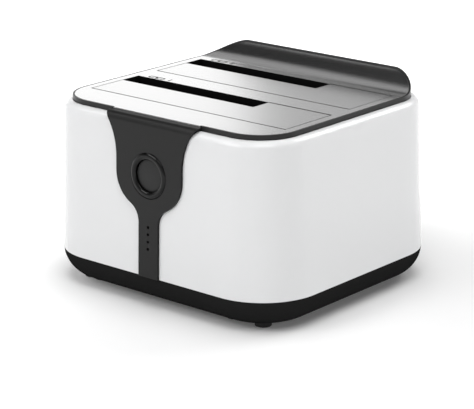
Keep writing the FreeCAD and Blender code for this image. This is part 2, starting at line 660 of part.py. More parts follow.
# ---------------------------------------------------------------- sleeve
def tie_outline(grow):
    """The tie shape of the front panel, drawn on the XZ plane, as a wire."""
    bulb_x = TIE_WAIST_HALF - TIE_BULB_RADIUS
    bulb_z = BUTTON_Z
    neck_x = TIE_STEM_HALF + TIE_NECK_RADIUS
    reach = TIE_BULB_RADIUS + TIE_NECK_RADIUS
    neck_z = bulb_z - math.sqrt(reach ** 2 - (neck_x - bulb_x) ** 2)
    touch = TIE_BULB_RADIUS / reach
    touch_x = bulb_x + (neck_x - bulb_x) * touch
    touch_z = bulb_z + (neck_z - bulb_z) * touch
    flare_x = TIE_WAIST_HALF + TIE_FLARE_RADIUS
    flare_run = math.sqrt(TIE_FLARE_RADIUS ** 2 - (flare_x - TIE_TOP_HALF) ** 2)
    flare_z = FASCIA_TOP_Z - flare_run
    bottom = SLEEVE_Z

    def arc_point(centre_x, centre_z, radius, start, end):
        """The point half-way round an arc, on the side of its chord away from the centre."""
        middle_x = (start[0] + end[0]) / 2 - centre_x
        middle_z = (start[1] + end[1]) / 2 - centre_z
        length = math.hypot(middle_x, middle_z)
        return (centre_x + middle_x * radius / length, centre_z + middle_z * radius / length)

    stem_low = (TIE_STEM_HALF, bottom)
    stem_high = (TIE_STEM_HALF, neck_z)
    touching = (touch_x, touch_z)
    waist_low = (TIE_WAIST_HALF, bulb_z)
    waist_high = (TIE_WAIST_HALF, flare_z)
    top = (TIE_TOP_HALF, FASCIA_TOP_Z)
    neck_middle = arc_point(neck_x, neck_z, TIE_NECK_RADIUS, stem_high, touching)
    bulb_middle = arc_point(bulb_x, bulb_z, TIE_BULB_RADIUS, touching, waist_low)
    flare_middle = arc_point(flare_x, flare_z, TIE_FLARE_RADIUS, waist_high, top)

    def point(pair, side):
        """A point of one side of the outline."""
        return vector(side * pair[0], 0, pair[1])

    edges = []
    for side in (1, -1):
        edges += [
            Part.makeLine(point(stem_low, side), point(stem_high, side)),
            Part.Arc(point(stem_high, side), point(neck_middle, side), point(touching, side)).toShape(),
            Part.Arc(point(touching, side), point(bulb_middle, side), point(waist_low, side)).toShape(),
            Part.makeLine(point(waist_low, side), point(waist_high, side)),
            Part.Arc(point(waist_high, side), point(flare_middle, side), point(top, side)).toShape(),
        ]
    edges.append(Part.makeLine(point(stem_low, 1), point(stem_low, -1)))
    edges.append(Part.makeLine(point(top, 1), point(top, -1)))
    wire = Part.Wire(Part.sortEdges(edges)[0])
    if grow == 0:
        return wire
    return wire.makeOffset2D(grow)


def tie_block(grow):
    """The tie shape carried through the front wall."""
    face = Part.Face(tie_outline(grow))
    face.translate(-BACK * (HOUSING_HALF_Y + BEYOND))
    return face.extrude(BACK * (HOUSING_HALF_Y + BEYOND + POST_FRONT_Y))


def rear_panel_outline_block(grow, y_low, y_high):
    """The rear panel's shape: square at the bottom, rounded at the top."""
    half = REAR_PANEL_HALF_X + grow
    top = SLEEVE_Z + REAR_PANEL_HEIGHT + grow
    block = box((-half, half), (y_low, y_high), (SLEEVE_Z, top))
    corners = [
        edge for edge in block.Edges
        if edge.BoundBox.YLength > FIT and edge.BoundBox.ZMin > top - FIT
    ]
    return block.makeFillet(REAR_PANEL_CORNER, corners)


def lamp_heights():
    """The heights of the four lamps."""
    return [LAMP_LOWEST_Z + index * LAMP_PITCH for index in range(LAMP_COUNT)]


def bezel_seat_y():
    """The flat seat of the button's ring, a little below the front panel's face."""
    return sleeve_front_y(BUTTON_Z) - FASCIA_PROUD + BEZEL_SINK


def bezel_tube_radius():
    """The outside of the ring's tube."""
    return BUTTON_RADIUS + 2 * SLIDE_FIT + BEZEL_TUBE_WALL


def front_board_y():
    """The front and rear faces of the front board."""
    rear = bay_front_y(0) - POCKET_SET_BACK - GUIDE_WALL - FRONT_BOARD_REAR_GAP
    return rear - BOARD_THICKNESS, rear


def front_screw_places():
    """The front board's screws, as (x, z)."""
    return [(side * FRONT_SCREW_X, z) for side in (-1, 1) for z in (FRONT_SCREW_LOW_Z, FRONT_SCREW_HIGH_Z)]


def outer_sleeve():
    """The white shell: drafted, rounded shoulder, inner ledge, recesses, lamp slot and board bosses."""
    shell = tapered_block(sleeve_section(SLEEVE_Z, 0), sleeve_section(SHOULDER_Z, 0))
    shell = shell.makeFillet(SLEEVE_ROUND, edges_at_height(shell, SHOULDER_Z))
    ledge_z = RIM_SEAT_Z - LEDGE_THICKNESS
    cavity = tapered_block(sleeve_section(SLEEVE_Z, SLEEVE_WALL), sleeve_section(ledge_z, SLEEVE_WALL))
    shell = shell.cut(cavity)
    shell = shell.cut(deck_outline_block(DECK_SKIRT_WALL, ledge_z - OVERCUT, SHOULDER_Z + OVERCUT))
    shell = shell.cut(deck_outline_block(-RIM_GAP, RIM_SEAT_Z, SHOULDER_Z + OVERCUT))

    inlay_low = sleeve_front_y(SLEEVE_Z) + FASCIA_INLAY + FIT
    inlay_high = sleeve_front_y(FASCIA_SEAT_Z) + FASCIA_INLAY + FIT
    far = -HOUSING_HALF_Y - BEYOND
    recess = side_extrusion(
        [
            (far, SLEEVE_Z),
            (inlay_low, SLEEVE_Z),
            (inlay_high, FASCIA_SEAT_Z),
            (-DECK_HALF_Y, FASCIA_SEAT_Z),
            (-DECK_HALF_Y, DECK_Z),
            (far, DECK_Z),
        ],
        -HOUSING_HALF_X,
        HOUSING_HALF_X,
    ).common(tie_block(SLIDE_FIT))
    shell = shell.cut(recess)

    board_front = front_board_y()[0]
    bosses = []
    for x, z in front_screw_places():
        start = sleeve_front_y(z, SLEEVE_WALL) - FASCIA_INLAY / 2
        bosses.append(rod_y(FRONT_BOSS_RADIUS, x, z, start, board_front))
    shell = fused([shell] + bosses)

    panel_floor = PANEL_FRONT_LIMIT - REAR_PANEL_THICKNESS
    window_half = REAR_PANEL_HALF_X - REAR_PANEL_LEDGE
    window_z = (SLEEVE_Z + REAR_PANEL_LEDGE / 3, SLEEVE_Z + REAR_PANEL_HEIGHT - REAR_PANEL_LEDGE)
    cuts = [
        rear_panel_outline_block(SLIDE_FIT, panel_floor, PANEL_FRONT_LIMIT + OVERCUT),
        box((-window_half, window_half), (POST_REAR_Y, PANEL_FRONT_LIMIT), window_z),
        rod_y(bezel_tube_radius() + SLIDE_FIT, 0, BUTTON_Z, far, POST_FRONT_Y),
    ]
    slot_half = LAMP_RADIUS + SLIDE_FIT
    slot_z = (lamp_heights()[0] - slot_half, lamp_heights()[-1] + slot_half)
    cuts.append(box((-slot_half, slot_half), (far, POST_FRONT_Y), slot_z))
    hole_far = board_front - SMALL_SCREW_LENGTH
    for x, z in front_screw_places():
        cuts.append(rod_y(SMALL_SCREW_RADIUS + FIT, x, z, hole_far, board_front + OVERCUT))
    return shell.cut(cuts)


def front_fascia():
    """The tie-shaped front panel, let into the sleeve and rolled over its shoulder up to the rim."""
    wall_y = -DECK_HALF_Y - FIT
    points = [
        (sleeve_front_y(SLEEVE_Z) - FASCIA_PROUD, SLEEVE_Z),
        (sleeve_front_y(FASCIA_TOP_Z) - FASCIA_PROUD, FASCIA_TOP_Z),
        (wall_y, FASCIA_TOP_Z),
        (wall_y, FASCIA_SEAT_Z),
        (sleeve_front_y(FASCIA_SEAT_Z) + FASCIA_INLAY, FASCIA_SEAT_Z),
        (sleeve_front_y(SLEEVE_Z) + FASCIA_INLAY, SLEEVE_Z),
    ]
    slab = side_extrusion(points, -HOUSING_HALF_X, HOUSING_HALF_X)
    front_top = [
        edge for edge in edges_at_height(slab, FASCIA_TOP_Z)
        if edge.BoundBox.XLength > HOUSING_HALF_X and edge.BoundBox.YMin < wall_y - FIT
    ]
    slab = slab.makeFillet(FASCIA_TOP_ROUND, front_top)
    far = -HOUSING_HALF_Y - BEYOND
    cuts = [
        rod_y(BEZEL_RADIUS + SLIDE_FIT, 0, BUTTON_Z, far, bezel_seat_y()),
        rod_y(bezel_tube_radius() + SLIDE_FIT, 0, BUTTON_Z, far, POST_FRONT_Y),
    ]
    for z in lamp_heights():
        cuts.append(rod_y(LAMP_RADIUS, 0, z, far, POST_FRONT_Y))
    return slab.common(tie_block(0)).cut(cuts)


# ---------------------------------------------------------------- base tray
def tray_block(inset, floor_z, rounding):
    """The tray's bowl shape: near-upright wall that rolls under into a flat bottom."""
    top = sleeve_section(SLEEVE_Z, inset)
    bottom = sleeve_section(SLEEVE_Z, inset + TRAY_DRAFT)
    block = tapered_block(bottom[:3] + (floor_z,), top[:3] + (SLEEVE_Z,))
    return block.makeFillet(rounding, edges_at_height(block, floor_z))


def foot_places():
    """The four feet, in plan."""
    return [(side * FOOT_X, end * FOOT_Y) for side in (-1, 1) for end in (-1, 1)]


def board_screw_places():
    """The main board's screws, in plan."""
    rows = (BOARD_SCREW_FRONT_Y, BOARD_SCREW_REAR_Y)
    return [(side * BOARD_SCREW_X, y) for side in (-1, 1) for y in rows]


def base_tray():
    """The dark tray: rolled edge, tongue into the sleeve, screw towers, board bosses, foot seats."""
    floor_z = TRAY_Z + TRAY_FLOOR
    body = tray_block(0, TRAY_Z, TRAY_ROUND)
    body = body.cut(tray_block(TRAY_WALL, floor_z, TRAY_ROUND - TRAY_WALL))
    tongue_inset = SLEEVE_WALL + LOOSE
    outline = sleeve_section(SLEEVE_Z, tongue_inset)[:3]
    inside = sleeve_section(SLEEVE_Z, tongue_inset + TONGUE_WALL)[:3]
    low = SLEEVE_Z - OVERCUT
    high = SLEEVE_Z + TONGUE_HEIGHT
    tongue = rounded_block(*outline, low, high).cut(rounded_block(*inside, low - OVERCUT, high + OVERCUT))
    gap_half = REAR_PANEL_HALF_X - REAR_PANEL_LEDGE + LOOSE
    tongue = tongue.cut(box((-gap_half, gap_half), (0, HOUSING_HALF_Y), (SLEEVE_Z, high + OVERCUT)))
    pieces = [body, tongue]
    for x, y in post_places():
        pieces.append(rod_z(TOWER_RADIUS, x, y, floor_z - TRAY_FLOOR / 2, POST_BOTTOM_Z))
    for x, y in board_screw_places():
        pieces.append(rod_z(BOARD_BOSS_RADIUS, x, y, floor_z - TRAY_FLOOR / 2, MAIN_BOARD_Z))
    body = fused(pieces)
    cuts = []
    for x, y in post_places():
        cuts.append(rod_z(SCREW_HEAD_RADIUS + LOOSE, x, y, TRAY_Z - OVERCUT, SCREW_SEAT_Z))
        cuts.append(rod_z(SCREW_RADIUS + LOOSE, x, y, TRAY_Z - OVERCUT, POST_BOTTOM_Z + OVERCUT))
    for x, y in board_screw_places():
        hole_bottom = BOARD_TOP_Z - SMALL_SCREW_LENGTH - OVERCUT
        cuts.append(rod_z(SMALL_SCREW_RADIUS + FIT, x, y, hole_bottom, MAIN_BOARD_Z + OVERCUT))
    for x, y in foot_places():
        cuts.append(rod_z(FOOT_RADIUS + SLIDE_FIT, x, y, TRAY_Z - OVERCUT, TRAY_Z + FOOT_SINK))
    return body.cut(cuts)


def rubber_feet():
    """Four soft feet, bevelled at the floor."""
    feet = []
    for x, y in foot_places():
        foot = rod_z(FOOT_RADIUS, x, y, 0, TRAY_Z + FOOT_SINK)
        feet.append(foot.makeChamfer(FOOT_STAND / 3, edges_at_height(foot, 0)))
    return feet


# ---------------------------------------------------------------- button
def button_bezel():
    """The glossy ring round the button: a rounded bead in front of a tube."""
    seat = bezel_seat_y()
    inner = BUTTON_RADIUS + 2 * SLIDE_FIT
    tube = bezel_tube_radius()
    tube_end = sleeve_front_y(BUTTON_Z, SLEEVE_WALL) + BEZEL_SINK
    shoulder = seat - BEZEL_SINK
    crest = shoulder - BEZEL_RISE
    middle = (inner + BEZEL_RADIUS) / 2
    ring_inside = vector(inner, shoulder, BUTTON_Z)
    ring_crest = vector(middle, crest, BUTTON_Z)
    ring_outside = vector(BEZEL_RADIUS, shoulder, BUTTON_Z)
    centre_plane = Part.Wire([
        Part.makeLine(vector(inner, tube_end, BUTTON_Z), ring_inside),
        Part.Arc(ring_inside, ring_crest, ring_outside).toShape(),
        Part.makeLine(ring_outside, vector(BEZEL_RADIUS, seat, BUTTON_Z)),
        Part.makeLine(vector(BEZEL_RADIUS, seat, BUTTON_Z), vector(tube, seat, BUTTON_Z)),
        Part.makeLine(vector(tube, seat, BUTTON_Z), vector(tube, tube_end, BUTTON_Z)),
        Part.makeLine(vector(tube, tube_end, BUTTON_Z), vector(inner, tube_end, BUTTON_Z)),
    ])
    return Part.Face(centre_plane).revolve(vector(0, 0, BUTTON_Z), BACK, 360)


def cap_flange_y():
    """The front face of the cap's flange, just behind the ring's tube."""
    return sleeve_front_y(BUTTON_Z, SLEEVE_WALL) + BEZEL_SINK + SLIDE_FIT


def plunger_front_y():
    """The front end of the switch's plunger."""
    return cap_flange_y() + CAP_FLANGE + BUTTON_TRAVEL


def button_cap():
    """The push cap: crowned face, hollow skirt, retaining flange and a stem on the plunger."""
    face_y = bezel_seat_y() - BEZEL_SINK
    crown = face_y - BEZEL_RISE / 2
    flange = cap_flange_y()
    rear = flange + CAP_FLANGE
    hollow = BUTTON_RADIUS - CAP_SHELL
    hollow_front = face_y + CAP_SHELL
    profile = Part.Wire([
        Part.Arc(
            vector(0, crown, BUTTON_Z),
            vector(BUTTON_RADIUS / 2, crown + (face_y - crown) / 4, BUTTON_Z),
            vector(BUTTON_RADIUS, face_y, BUTTON_Z),
        ).toShape(),
        Part.makePolygon([
            vector(BUTTON_RADIUS, face_y, BUTTON_Z),
            vector(BUTTON_RADIUS, flange, BUTTON_Z),
            vector(BUTTON_RADIUS + CAP_FLANGE, flange, BUTTON_Z),
            vector(BUTTON_RADIUS + CAP_FLANGE, rear, BUTTON_Z),
            vector(hollow, rear, BUTTON_Z),
            vector(hollow, hollow_front, BUTTON_Z),
            vector(STEM_RADIUS, hollow_front, BUTTON_Z),
            vector(STEM_RADIUS, plunger_front_y(), BUTTON_Z),
            vector(0, plunger_front_y(), BUTTON_Z),
            vector(0, crown, BUTTON_Z),
        ]),
    ])
    return Part.Face(profile).revolve(vector(0, 0, BUTTON_Z), BACK, 360)


def switch_plunger():
    """The small plunger that the cap pushes into the switch."""
    end = front_board_y()[0] - 2 * BUTTON_TRAVEL - LOOSE
    return rod_y(STEM_RADIUS, 0, BUTTON_Z, plunger_front_y(), end)


def tact_switch():
    """The push switch on the front board, bored for its plunger."""
    half = BUTTON_RADIUS / 2
    board = front_board_y()[0]
    front = plunger_front_y() + BUTTON_TRAVEL + LOOSE
    body = box((-half, half), (front, board), (BUTTON_Z - half, BUTTON_Z + half))
    return body.cut(rod_y(STEM_RADIUS + SLIDE_FIT, 0, BUTTON_Z, front - OVERCUT, board - BUTTON_TRAVEL))


def front_board():
    """The upright board behind the front panel."""
    front, rear = front_board_y()
    board = box(
        (-FRONT_BOARD_HALF_X, FRONT_BOARD_HALF_X), (front, rear), (FRONT_BOARD_BOTTOM_Z, FRONT_BOARD_TOP_Z)
    )
    corners = [edge for edge in board.Edges if edge.BoundBox.YLength > BOARD_THICKNESS / 2]
    board = board.makeFillet(BOARD_THICKNESS, corners)
    holes = [
        rod_y(SMALL_SCREW_RADIUS + SLIDE_FIT, x, z, front - OVERCUT, rear + OVERCUT)
        for x, z in front_screw_places()
    ]
    return board.cut(holes)


def lamp_body_y():
    """The front face of the lamps on the board."""
    return front_board_y()[0] - BOARD_THICKNESS


def status_lamps():
    """Four small lamps on the front board."""
    half = LAMP_PITCH / 3
    front = lamp_body_y()
    return [box((-half, half), (front, front_board_y()[0]), (z - half, z + half)) for z in lamp_heights()]


def light_pipe():
    """The clear moulding that carries the lamps' light to the four holes."""
    half = LAMP_PITCH / 2 + LAMP_MARGIN
    heights = lamp_heights()
    low = heights[0] - half
    high = heights[-1] + half
    wall = sleeve_front_y(high, SLEEVE_WALL) + FIT
    bar = box((-half, half), (wall, lamp_body_y() - SLIDE_FIT), (low, high))
    prongs = []
    for z in heights:
        face = sleeve_front_y(z) - FASCIA_PROUD + SLIDE_FIT
        prongs.append(rod_y(LAMP_RADIUS - FIT, 0, z, face, wall + LOOSE))
    return fused([bar] + prongs)


# ---------------------------------------------------------------- boards and what is on them
def main_board():
    """The main board on the tray's bosses, cut round the rear screw towers."""
    middle = (MAIN_BOARD_FRONT_Y + MAIN_BOARD_REAR_Y) / 2
    half_y = (MAIN_BOARD_REAR_Y - MAIN_BOARD_FRONT_Y) / 2
    board = rounded_block(MAIN_BOARD_HALF_X, half_y, MAIN_BOARD_CORNER, MAIN_BOARD_Z, BOARD_TOP_Z)
    board.translate(BACK * middle)
    low = MAIN_BOARD_Z - OVERCUT
    high = BOARD_TOP_Z + OVERCUT
    cuts = [rod_z(TOWER_RADIUS + LOOSE, x, y, low, high) for x, y in post_places()]
    for x, y in board_screw_places():
        cuts.append(rod_z(SMALL_SCREW_RADIUS + SLIDE_FIT, x, y, low, high))
    return board.cut(cuts)


def connector_slots(bay):
    """The data and power slots of a connector, as (x_low, x_high) pairs."""
    left = -BAY_HALF_X + CONNECTOR_LEFT_GAP
    spare = CONNECTOR_LENGTH - DATA_SLOT - POWER_SLOT
    data = (left + spare / 3, left + spare / 3 + DATA_SLOT)
    power = (data[1] + spare / 3, data[1] + spare / 3 + POWER_SLOT)
    return data, power


def drive_connector(bay):
    """An upright drive connector: a block with the keyed data slot and the keyed power slot."""
    left = -BAY_HALF_X + CONNECTOR_LEFT_GAP
    centre = connector_centre_y(bay)
    half = CONNECTOR_WIDTH / 2
    top = BOARD_TOP_Z + CONNECTOR_HEIGHT
    body = box((left, left + CONNECTOR_LENGTH), (centre - half, centre + half), (BOARD_TOP_Z, top))
    cuts = []
    for low, high in connector_slots(bay):
        slot_half = CONNECTOR_SLOT_WIDTH / 2
        depth = (top - CONNECTOR_SLOT_DEPTH, top + OVERCUT)
        cuts.append(box((low, high), (centre - slot_half, centre + slot_half), depth))
        key = (low, low + CONNECTOR_SLOT_WIDTH)
        cuts.append(box(key, (centre - slot_half, centre + 2 * slot_half), depth))
    return body.cut(cuts)


def drive_contacts(bay):
    """The gold contacts that stand in a connector's two slots."""
    centre = connector_centre_y(bay)
    wall = centre - CONNECTOR_SLOT_WIDTH / 2
    top = BOARD_TOP_Z + CONNECTOR_HEIGHT
    depth = (wall, wall + CONTACT_THICKNESS)
    height = (top - CONNECTOR_SLOT_DEPTH, top - LOOSE)
    contacts = []
    for (low, high), count in zip(connector_slots(bay), (DATA_CONTACTS, POWER_CONTACTS)):
        start = (low + high - (count - 1) * CONTACT_PITCH) / 2
        for index in range(count):
            x = start + index * CONTACT_PITCH
            span = (x - CONTACT_WIDTH / 2, x + CONTACT_WIDTH / 2)
            contacts.append(box(span, depth, height))
    return contacts


def chip(x, y, size):
    """A moulded chip on the main board."""
    half_x, half_y = size[0] / 2, size[1] / 2
    body = box((x - half_x, x + half_x), (y - half_y, y + half_y), (BOARD_TOP_Z, BOARD_TOP_Z + CHIP_HEIGHT))
    return body.makeChamfer(CHIP_HEIGHT / 4, edges_at_height(body, BOARD_TOP_Z + CHIP_HEIGHT))


def board_chips():
    """The duplicator's controller, its memory and two regulators."""
    middle_y = bay_front_y(1) + BAY_WIDTH / 4
    return [
        chip(BAY_HALF_X / 3, middle_y, BRIDGE_CHIP),
        chip(BAY_HALF_X / 3 + BRIDGE_CHIP[0], middle_y, MEMORY_CHIP),
        chip(BAY_HALF_X / 3, bay_front_y(0) + BAY_WIDTH / 2, BRIDGE_CHIP),
        chip(BAY_HALF_X / 3 + BRIDGE_CHIP[0], bay_front_y(0) + BAY_WIDTH / 2, REGULATOR_CHIP),
    ]


def capacitor_places():
    """The upright capacitors behind the rear well, in plan."""
    row_y = bay_rear_y(1) + GUIDE_WALL + CAPACITOR_RADIUS + LOOSE
    right_of_jack = JACK_X + JACK_HALF_WIDTH + CAPACITOR_RADIUS + 2 * LOOSE
    left_of_port = PORT_X - PORT_HALF_WIDTH - CAPACITOR_RADIUS - 2 * LOOSE
    next_row_y = row_y + 2 * CAPACITOR_RADIUS + 2 * LOOSE
    return [(right_of_jack, row_y), (left_of_port, row_y), (right_of_jack, next_row_y)]


def board_capacitors():
    """Upright can capacitors with bevelled tops."""
    cans = []
    for x, y in capacitor_places():
        can = rod_z(CAPACITOR_RADIUS, x, y, BOARD_TOP_Z, BOARD_TOP_Z + CAPACITOR_HEIGHT)
        can = can.makeChamfer(LOOSE, edges_at_height(can, BOARD_TOP_Z + CAPACITOR_HEIGHT))
        cans.append(can)
    return cans


def power_coil():
    """The square choke beside the front connector's supply."""
    x = BAY_HALF_X - CONNECTOR_LEFT_GAP - COIL_SIZE
    y = connector_centre_y(0)
    half = COIL_SIZE / 2
    body = box((x - half, x + half), (y - half, y + half), (BOARD_TOP_Z, BOARD_TOP_Z + COIL_HEIGHT))
    upright = [edge for edge in body.Edges if edge.BoundBox.ZLength > COIL_HEIGHT / 2]
    return body.makeFillet(half / 3, upright)


def ribbon_path():
    """The middle line of the ribbon: (y of its drop, z of its run, y where it ends)."""
    drop_y = front_board_y()[1] + HEADER_HEIGHT / 2
    run_z = BOARD_TOP_Z + HEADER_HEIGHT / 2
    end_y = drop_y + RIBBON_BEND + RIBBON_THICKNESS
    return drop_y, run_z, end_y


def ribbon_headers():
    """The two ribbon sockets: one on the front board, one on the main board."""
    half = RIBBON_HALF_WIDTH + HEADER_MARGIN
    rear = front_board_y()[1]
    drop_y, run_z, end_y = ribbon_path()
    upper_span = (FRONT_HEADER_Z, FRONT_HEADER_Z + HEADER_LENGTH)
    upper = box((-half, half), (rear, rear + HEADER_HEIGHT), upper_span)
    lower = box((-half, half), (end_y, end_y + HEADER_HEIGHT), (BOARD_TOP_Z, BOARD_TOP_Z + HEADER_HEIGHT))
    return [upper, lower]


def ribbon_cable():
    """The flat cable from the front board down to the main board."""
    drop_y, run_z, end_y = ribbon_path()
    half = RIBBON_THICKNESS / 2
    centre = vector(-RIBBON_HALF_WIDTH, drop_y + RIBBON_BEND, run_z + RIBBON_BEND)

    def on_bend(radius, angle):
        """A point of the bend, the angle counted from the drop towards the run."""
        turn = math.radians(angle)
        return centre + vector(0, -radius * math.cos(turn), -radius * math.sin(turn))

    outer = RIBBON_BEND + half
    inner = RIBBON_BEND - half
    top = FRONT_HEADER_Z
    x = -RIBBON_HALF_WIDTH
    edges = [
        Part.makeLine(vector(x, drop_y - half, top), on_bend(outer, 0)),
        Part.Arc(on_bend(outer, 0), on_bend(outer, 45), on_bend(outer, 90)).toShape(),
        Part.makeLine(on_bend(outer, 90), vector(x, end_y, run_z - half)),
        Part.makeLine(vector(x, end_y, run_z - half), vector(x, end_y, run_z + half)),
        Part.makeLine(vector(x, end_y, run_z + half), on_bend(inner, 90)),
        Part.Arc(on_bend(inner, 90), on_bend(inner, 45), on_bend(inner, 0)).toShape(),
        Part.makeLine(on_bend(inner, 0), vector(x, drop_y + half, top)),
        Part.makeLine(vector(x, drop_y + half, top), vector(x, drop_y - half, top)),
    ]
    return Part.Face(Part.Wire(edges)).extrude(RIGHT * (2 * RIBBON_HALF_WIDTH))


# ---------------------------------------------------------------- rear ports
def port_profile(grow):
    """The type-B data port opening: a wide lower part under a narrower upper part, as (x, z) corners."""
    wide = PORT_HALF_WIDTH + grow
    narrow = PORT_HALF_WIDTH * PORT_NARROWING + grow
    low = BOARD_TOP_Z - grow
    high = BOARD_TOP_Z + PORT_HEIGHT + grow
    shoulder = BOARD_TOP_Z + PORT_HEIGHT * PORT_SHOULDER
    step = wide - narrow
    corners = [
        (wide, low), (wide, shoulder), (narrow, shoulder + step), (narrow, high),
        (-narrow, high), (-narrow, shoulder + step), (-wide, shoulder), (-wide, low),
    ]
    return [(PORT_X + x, z) for x, z in corners]


def port_end_y():
    """How far back the ports' metal reaches: just short of the rear panel's face."""
    return PANEL_FRONT_LIMIT - LOOSE


def data_port_shell():
    """The folded metal shell of the data port."""
    end = port_end_y()
    start = end - PORT_LENGTH
    outer = rear_extrusion(port_profile(0), start, end)
    return outer.cut(rear_extrusion(port_profile(-PORT_SHELL), start + 2 * PORT_SHELL, end + OVERCUT))


def data_port_insert():
    """The plastic block in the data port, with its lower post and upper tongue."""
    end = port_end_y()
    start = end - PORT_LENGTH + 2 * PORT_SHELL
    block = rear_extrusion(port_profile(-PORT_SHELL - FIT), start, start + PORT_LENGTH / 3)
    low = BOARD_TOP_Z + PORT_SHELL
    width = (PORT_X - PORT_POST_HALF, PORT_X + PORT_POST_HALF)
    reach = (start, end - PORT_LENGTH / 10)
    post_low = low + PORT_POST_RISE
    tongue_low = low + PORT_TONGUE_RISE
    lower = box(width, reach, (post_low, post_low + PORT_POST_HEIGHT))
    upper = box(width, reach, (tongue_low, tongue_low + PORT_TONGUE_HEIGHT))
    return fused([block, lower, upper])


def dc_jack():
    """The round power socket: a box body with a nose through the rear panel."""
    end = port_end_y()
    body_end = PANEL_FRONT_LIMIT - REAR_PANEL_THICKNESS - SLIDE_FIT
    start = body_end - JACK_BORE_DEPTH - JACK_PIN_RADIUS
    centre = BOARD_TOP_Z + JACK_HEIGHT / 2
    width = (JACK_X - JACK_HALF_WIDTH, JACK_X + JACK_HALF_WIDTH)
    body = box(width, (start, body_end), (BOARD_TOP_Z, BOARD_TOP_Z + JACK_HEIGHT))
    body = body.fuse(rod_y(JACK_NOSE_RADIUS, JACK_X, centre, start + OVERCUT, end))
    return body.cut(rod_y(JACK_BORE_RADIUS, JACK_X, centre, end - JACK_BORE_DEPTH, end + OVERCUT))


def dc_jack_pin():
    """The centre pin of the power socket."""
    end = port_end_y()
    centre = BOARD_TOP_Z + JACK_HEIGHT / 2
    pin_end = end - JACK_PIN_RECESS
    pin = rod_y(JACK_PIN_RADIUS, JACK_X, centre, end - JACK_BORE_DEPTH, pin_end)
    tip = [edge for edge in pin.Edges if edge.BoundBox.YMin > pin_end - FIT]
    return pin.makeChamfer(JACK_PIN_RADIUS / 3, tip)


def rocker_pivot_y():
    """The rocker's pivot, set back in the rear panel."""
    return PANEL_FRONT_LIMIT - ROCKER_SINK


def power_switch_housing():
    """The rocker's frame: a flange let into the rear panel, a body behind it and a round cavity."""
    flange_front = PANEL_FRONT_LIMIT - REAR_PANEL_THICKNESS / 2
    wide = SWITCH_HALF_WIDTH + SWITCH_FLANGE
    tall = SWITCH_HALF_HEIGHT + SWITCH_FLANGE
    flange_width = (ROCKER_X - wide, ROCKER_X + wide)
    flange = box(flange_width, (flange_front, PANEL_FRONT_LIMIT), (ROCKER_Z - tall, ROCKER_Z + tall))
    body = box(
        (ROCKER_X - SWITCH_HALF_WIDTH, ROCKER_X + SWITCH_HALF_WIDTH),
        (flange_front - SWITCH_DEPTH, flange_front),
        (ROCKER_Z - SWITCH_HALF_HEIGHT, ROCKER_Z + SWITCH_HALF_HEIGHT),
    )
    half = ROCKER_HALF_WIDTH + LOOSE
    pivot = rocker_pivot_y()
    cavity = rod_x(ROCKER_RADIUS + LOOSE, pivot, ROCKER_Z, ROCKER_X - half, ROCKER_X + half)
    pin_half = SWITCH_HALF_WIDTH - LOOSE
    bore = rod_x(ROCKER_PIN_RADIUS + FIT, pivot, ROCKER_Z, ROCKER_X - pin_half, ROCKER_X + pin_half)
    return flange.fuse(body).removeSplitter().cut([cavity, bore])


def power_rocker():
    """The rocker: a slice of a cylinder with a dished face, pressed at its lower end."""
    pivot = rocker_pivot_y()
    low_x = ROCKER_X - ROCKER_HALF_WIDTH
    high_x = ROCKER_X + ROCKER_HALF_WIDTH
    drum = rod_x(ROCKER_RADIUS, pivot, ROCKER_Z, low_x, high_x)
    crown = ROCKER_CROWN
    edge_rise = ROCKER_RADIUS * math.tan(math.radians(ROCKER_TILT))
    face = side_extrusion(
        [
            (pivot - ROCKER_TAIL, ROCKER_Z - ROCKER_RADIUS),
            (pivot + crown, ROCKER_Z - ROCKER_RADIUS),
            (pivot + crown - edge_rise / 2, ROCKER_Z),
            (pivot + crown, ROCKER_Z + ROCKER_RADIUS),
            (pivot - ROCKER_TAIL, ROCKER_Z + ROCKER_RADIUS),
        ],
        low_x,
        high_x,
    )
    bore = rod_x(ROCKER_PIN_RADIUS + FIT, pivot, ROCKER_Z, low_x - OVERCUT, high_x + OVERCUT)
    rocker = drum.common(face).cut(bore)
    rocker.rotate(vector(ROCKER_X, pivot, ROCKER_Z), RIGHT, -ROCKER_TILT)
    return rocker


def rocker_pin():
    """The rocker's pin, held in the frame's side walls."""
    pin_half = SWITCH_HALF_WIDTH - LOOSE - FIT
    return rod_x(ROCKER_PIN_RADIUS, rocker_pivot_y(), ROCKER_Z, ROCKER_X - pin_half, ROCKER_X + pin_half)


def rear_panel():
    """The dark panel round the rear ports."""
    low_y = PANEL_FRONT_LIMIT - REAR_PANEL_THICKNESS
    panel = rear_panel_outline_block(0, low_y, PANEL_FRONT_LIMIT)
    flange_front = PANEL_FRONT_LIMIT - REAR_PANEL_THICKNESS / 2
    gap = SLIDE_FIT
    wide = SWITCH_HALF_WIDTH + gap
    tall = SWITCH_HALF_HEIGHT + gap
    flange_wide = wide + SWITCH_FLANGE
    flange_tall = tall + SWITCH_FLANGE
    through = (low_y - OVERCUT, PANEL_FRONT_LIMIT + OVERCUT)
    cuts = [
        rear_extrusion(port_profile(LOOSE), *through),
        rod_y(JACK_NOSE_RADIUS + SLIDE_FIT, JACK_X, BOARD_TOP_Z + JACK_HEIGHT / 2, *through),
        box((ROCKER_X - wide, ROCKER_X + wide), through, (ROCKER_Z - tall, ROCKER_Z + tall)),
        box(
            (ROCKER_X - flange_wide, ROCKER_X + flange_wide),
            (flange_front, through[1]),
            (ROCKER_Z - flange_tall, ROCKER_Z + flange_tall),
        ),
    ]
    return panel.cut(cuts)


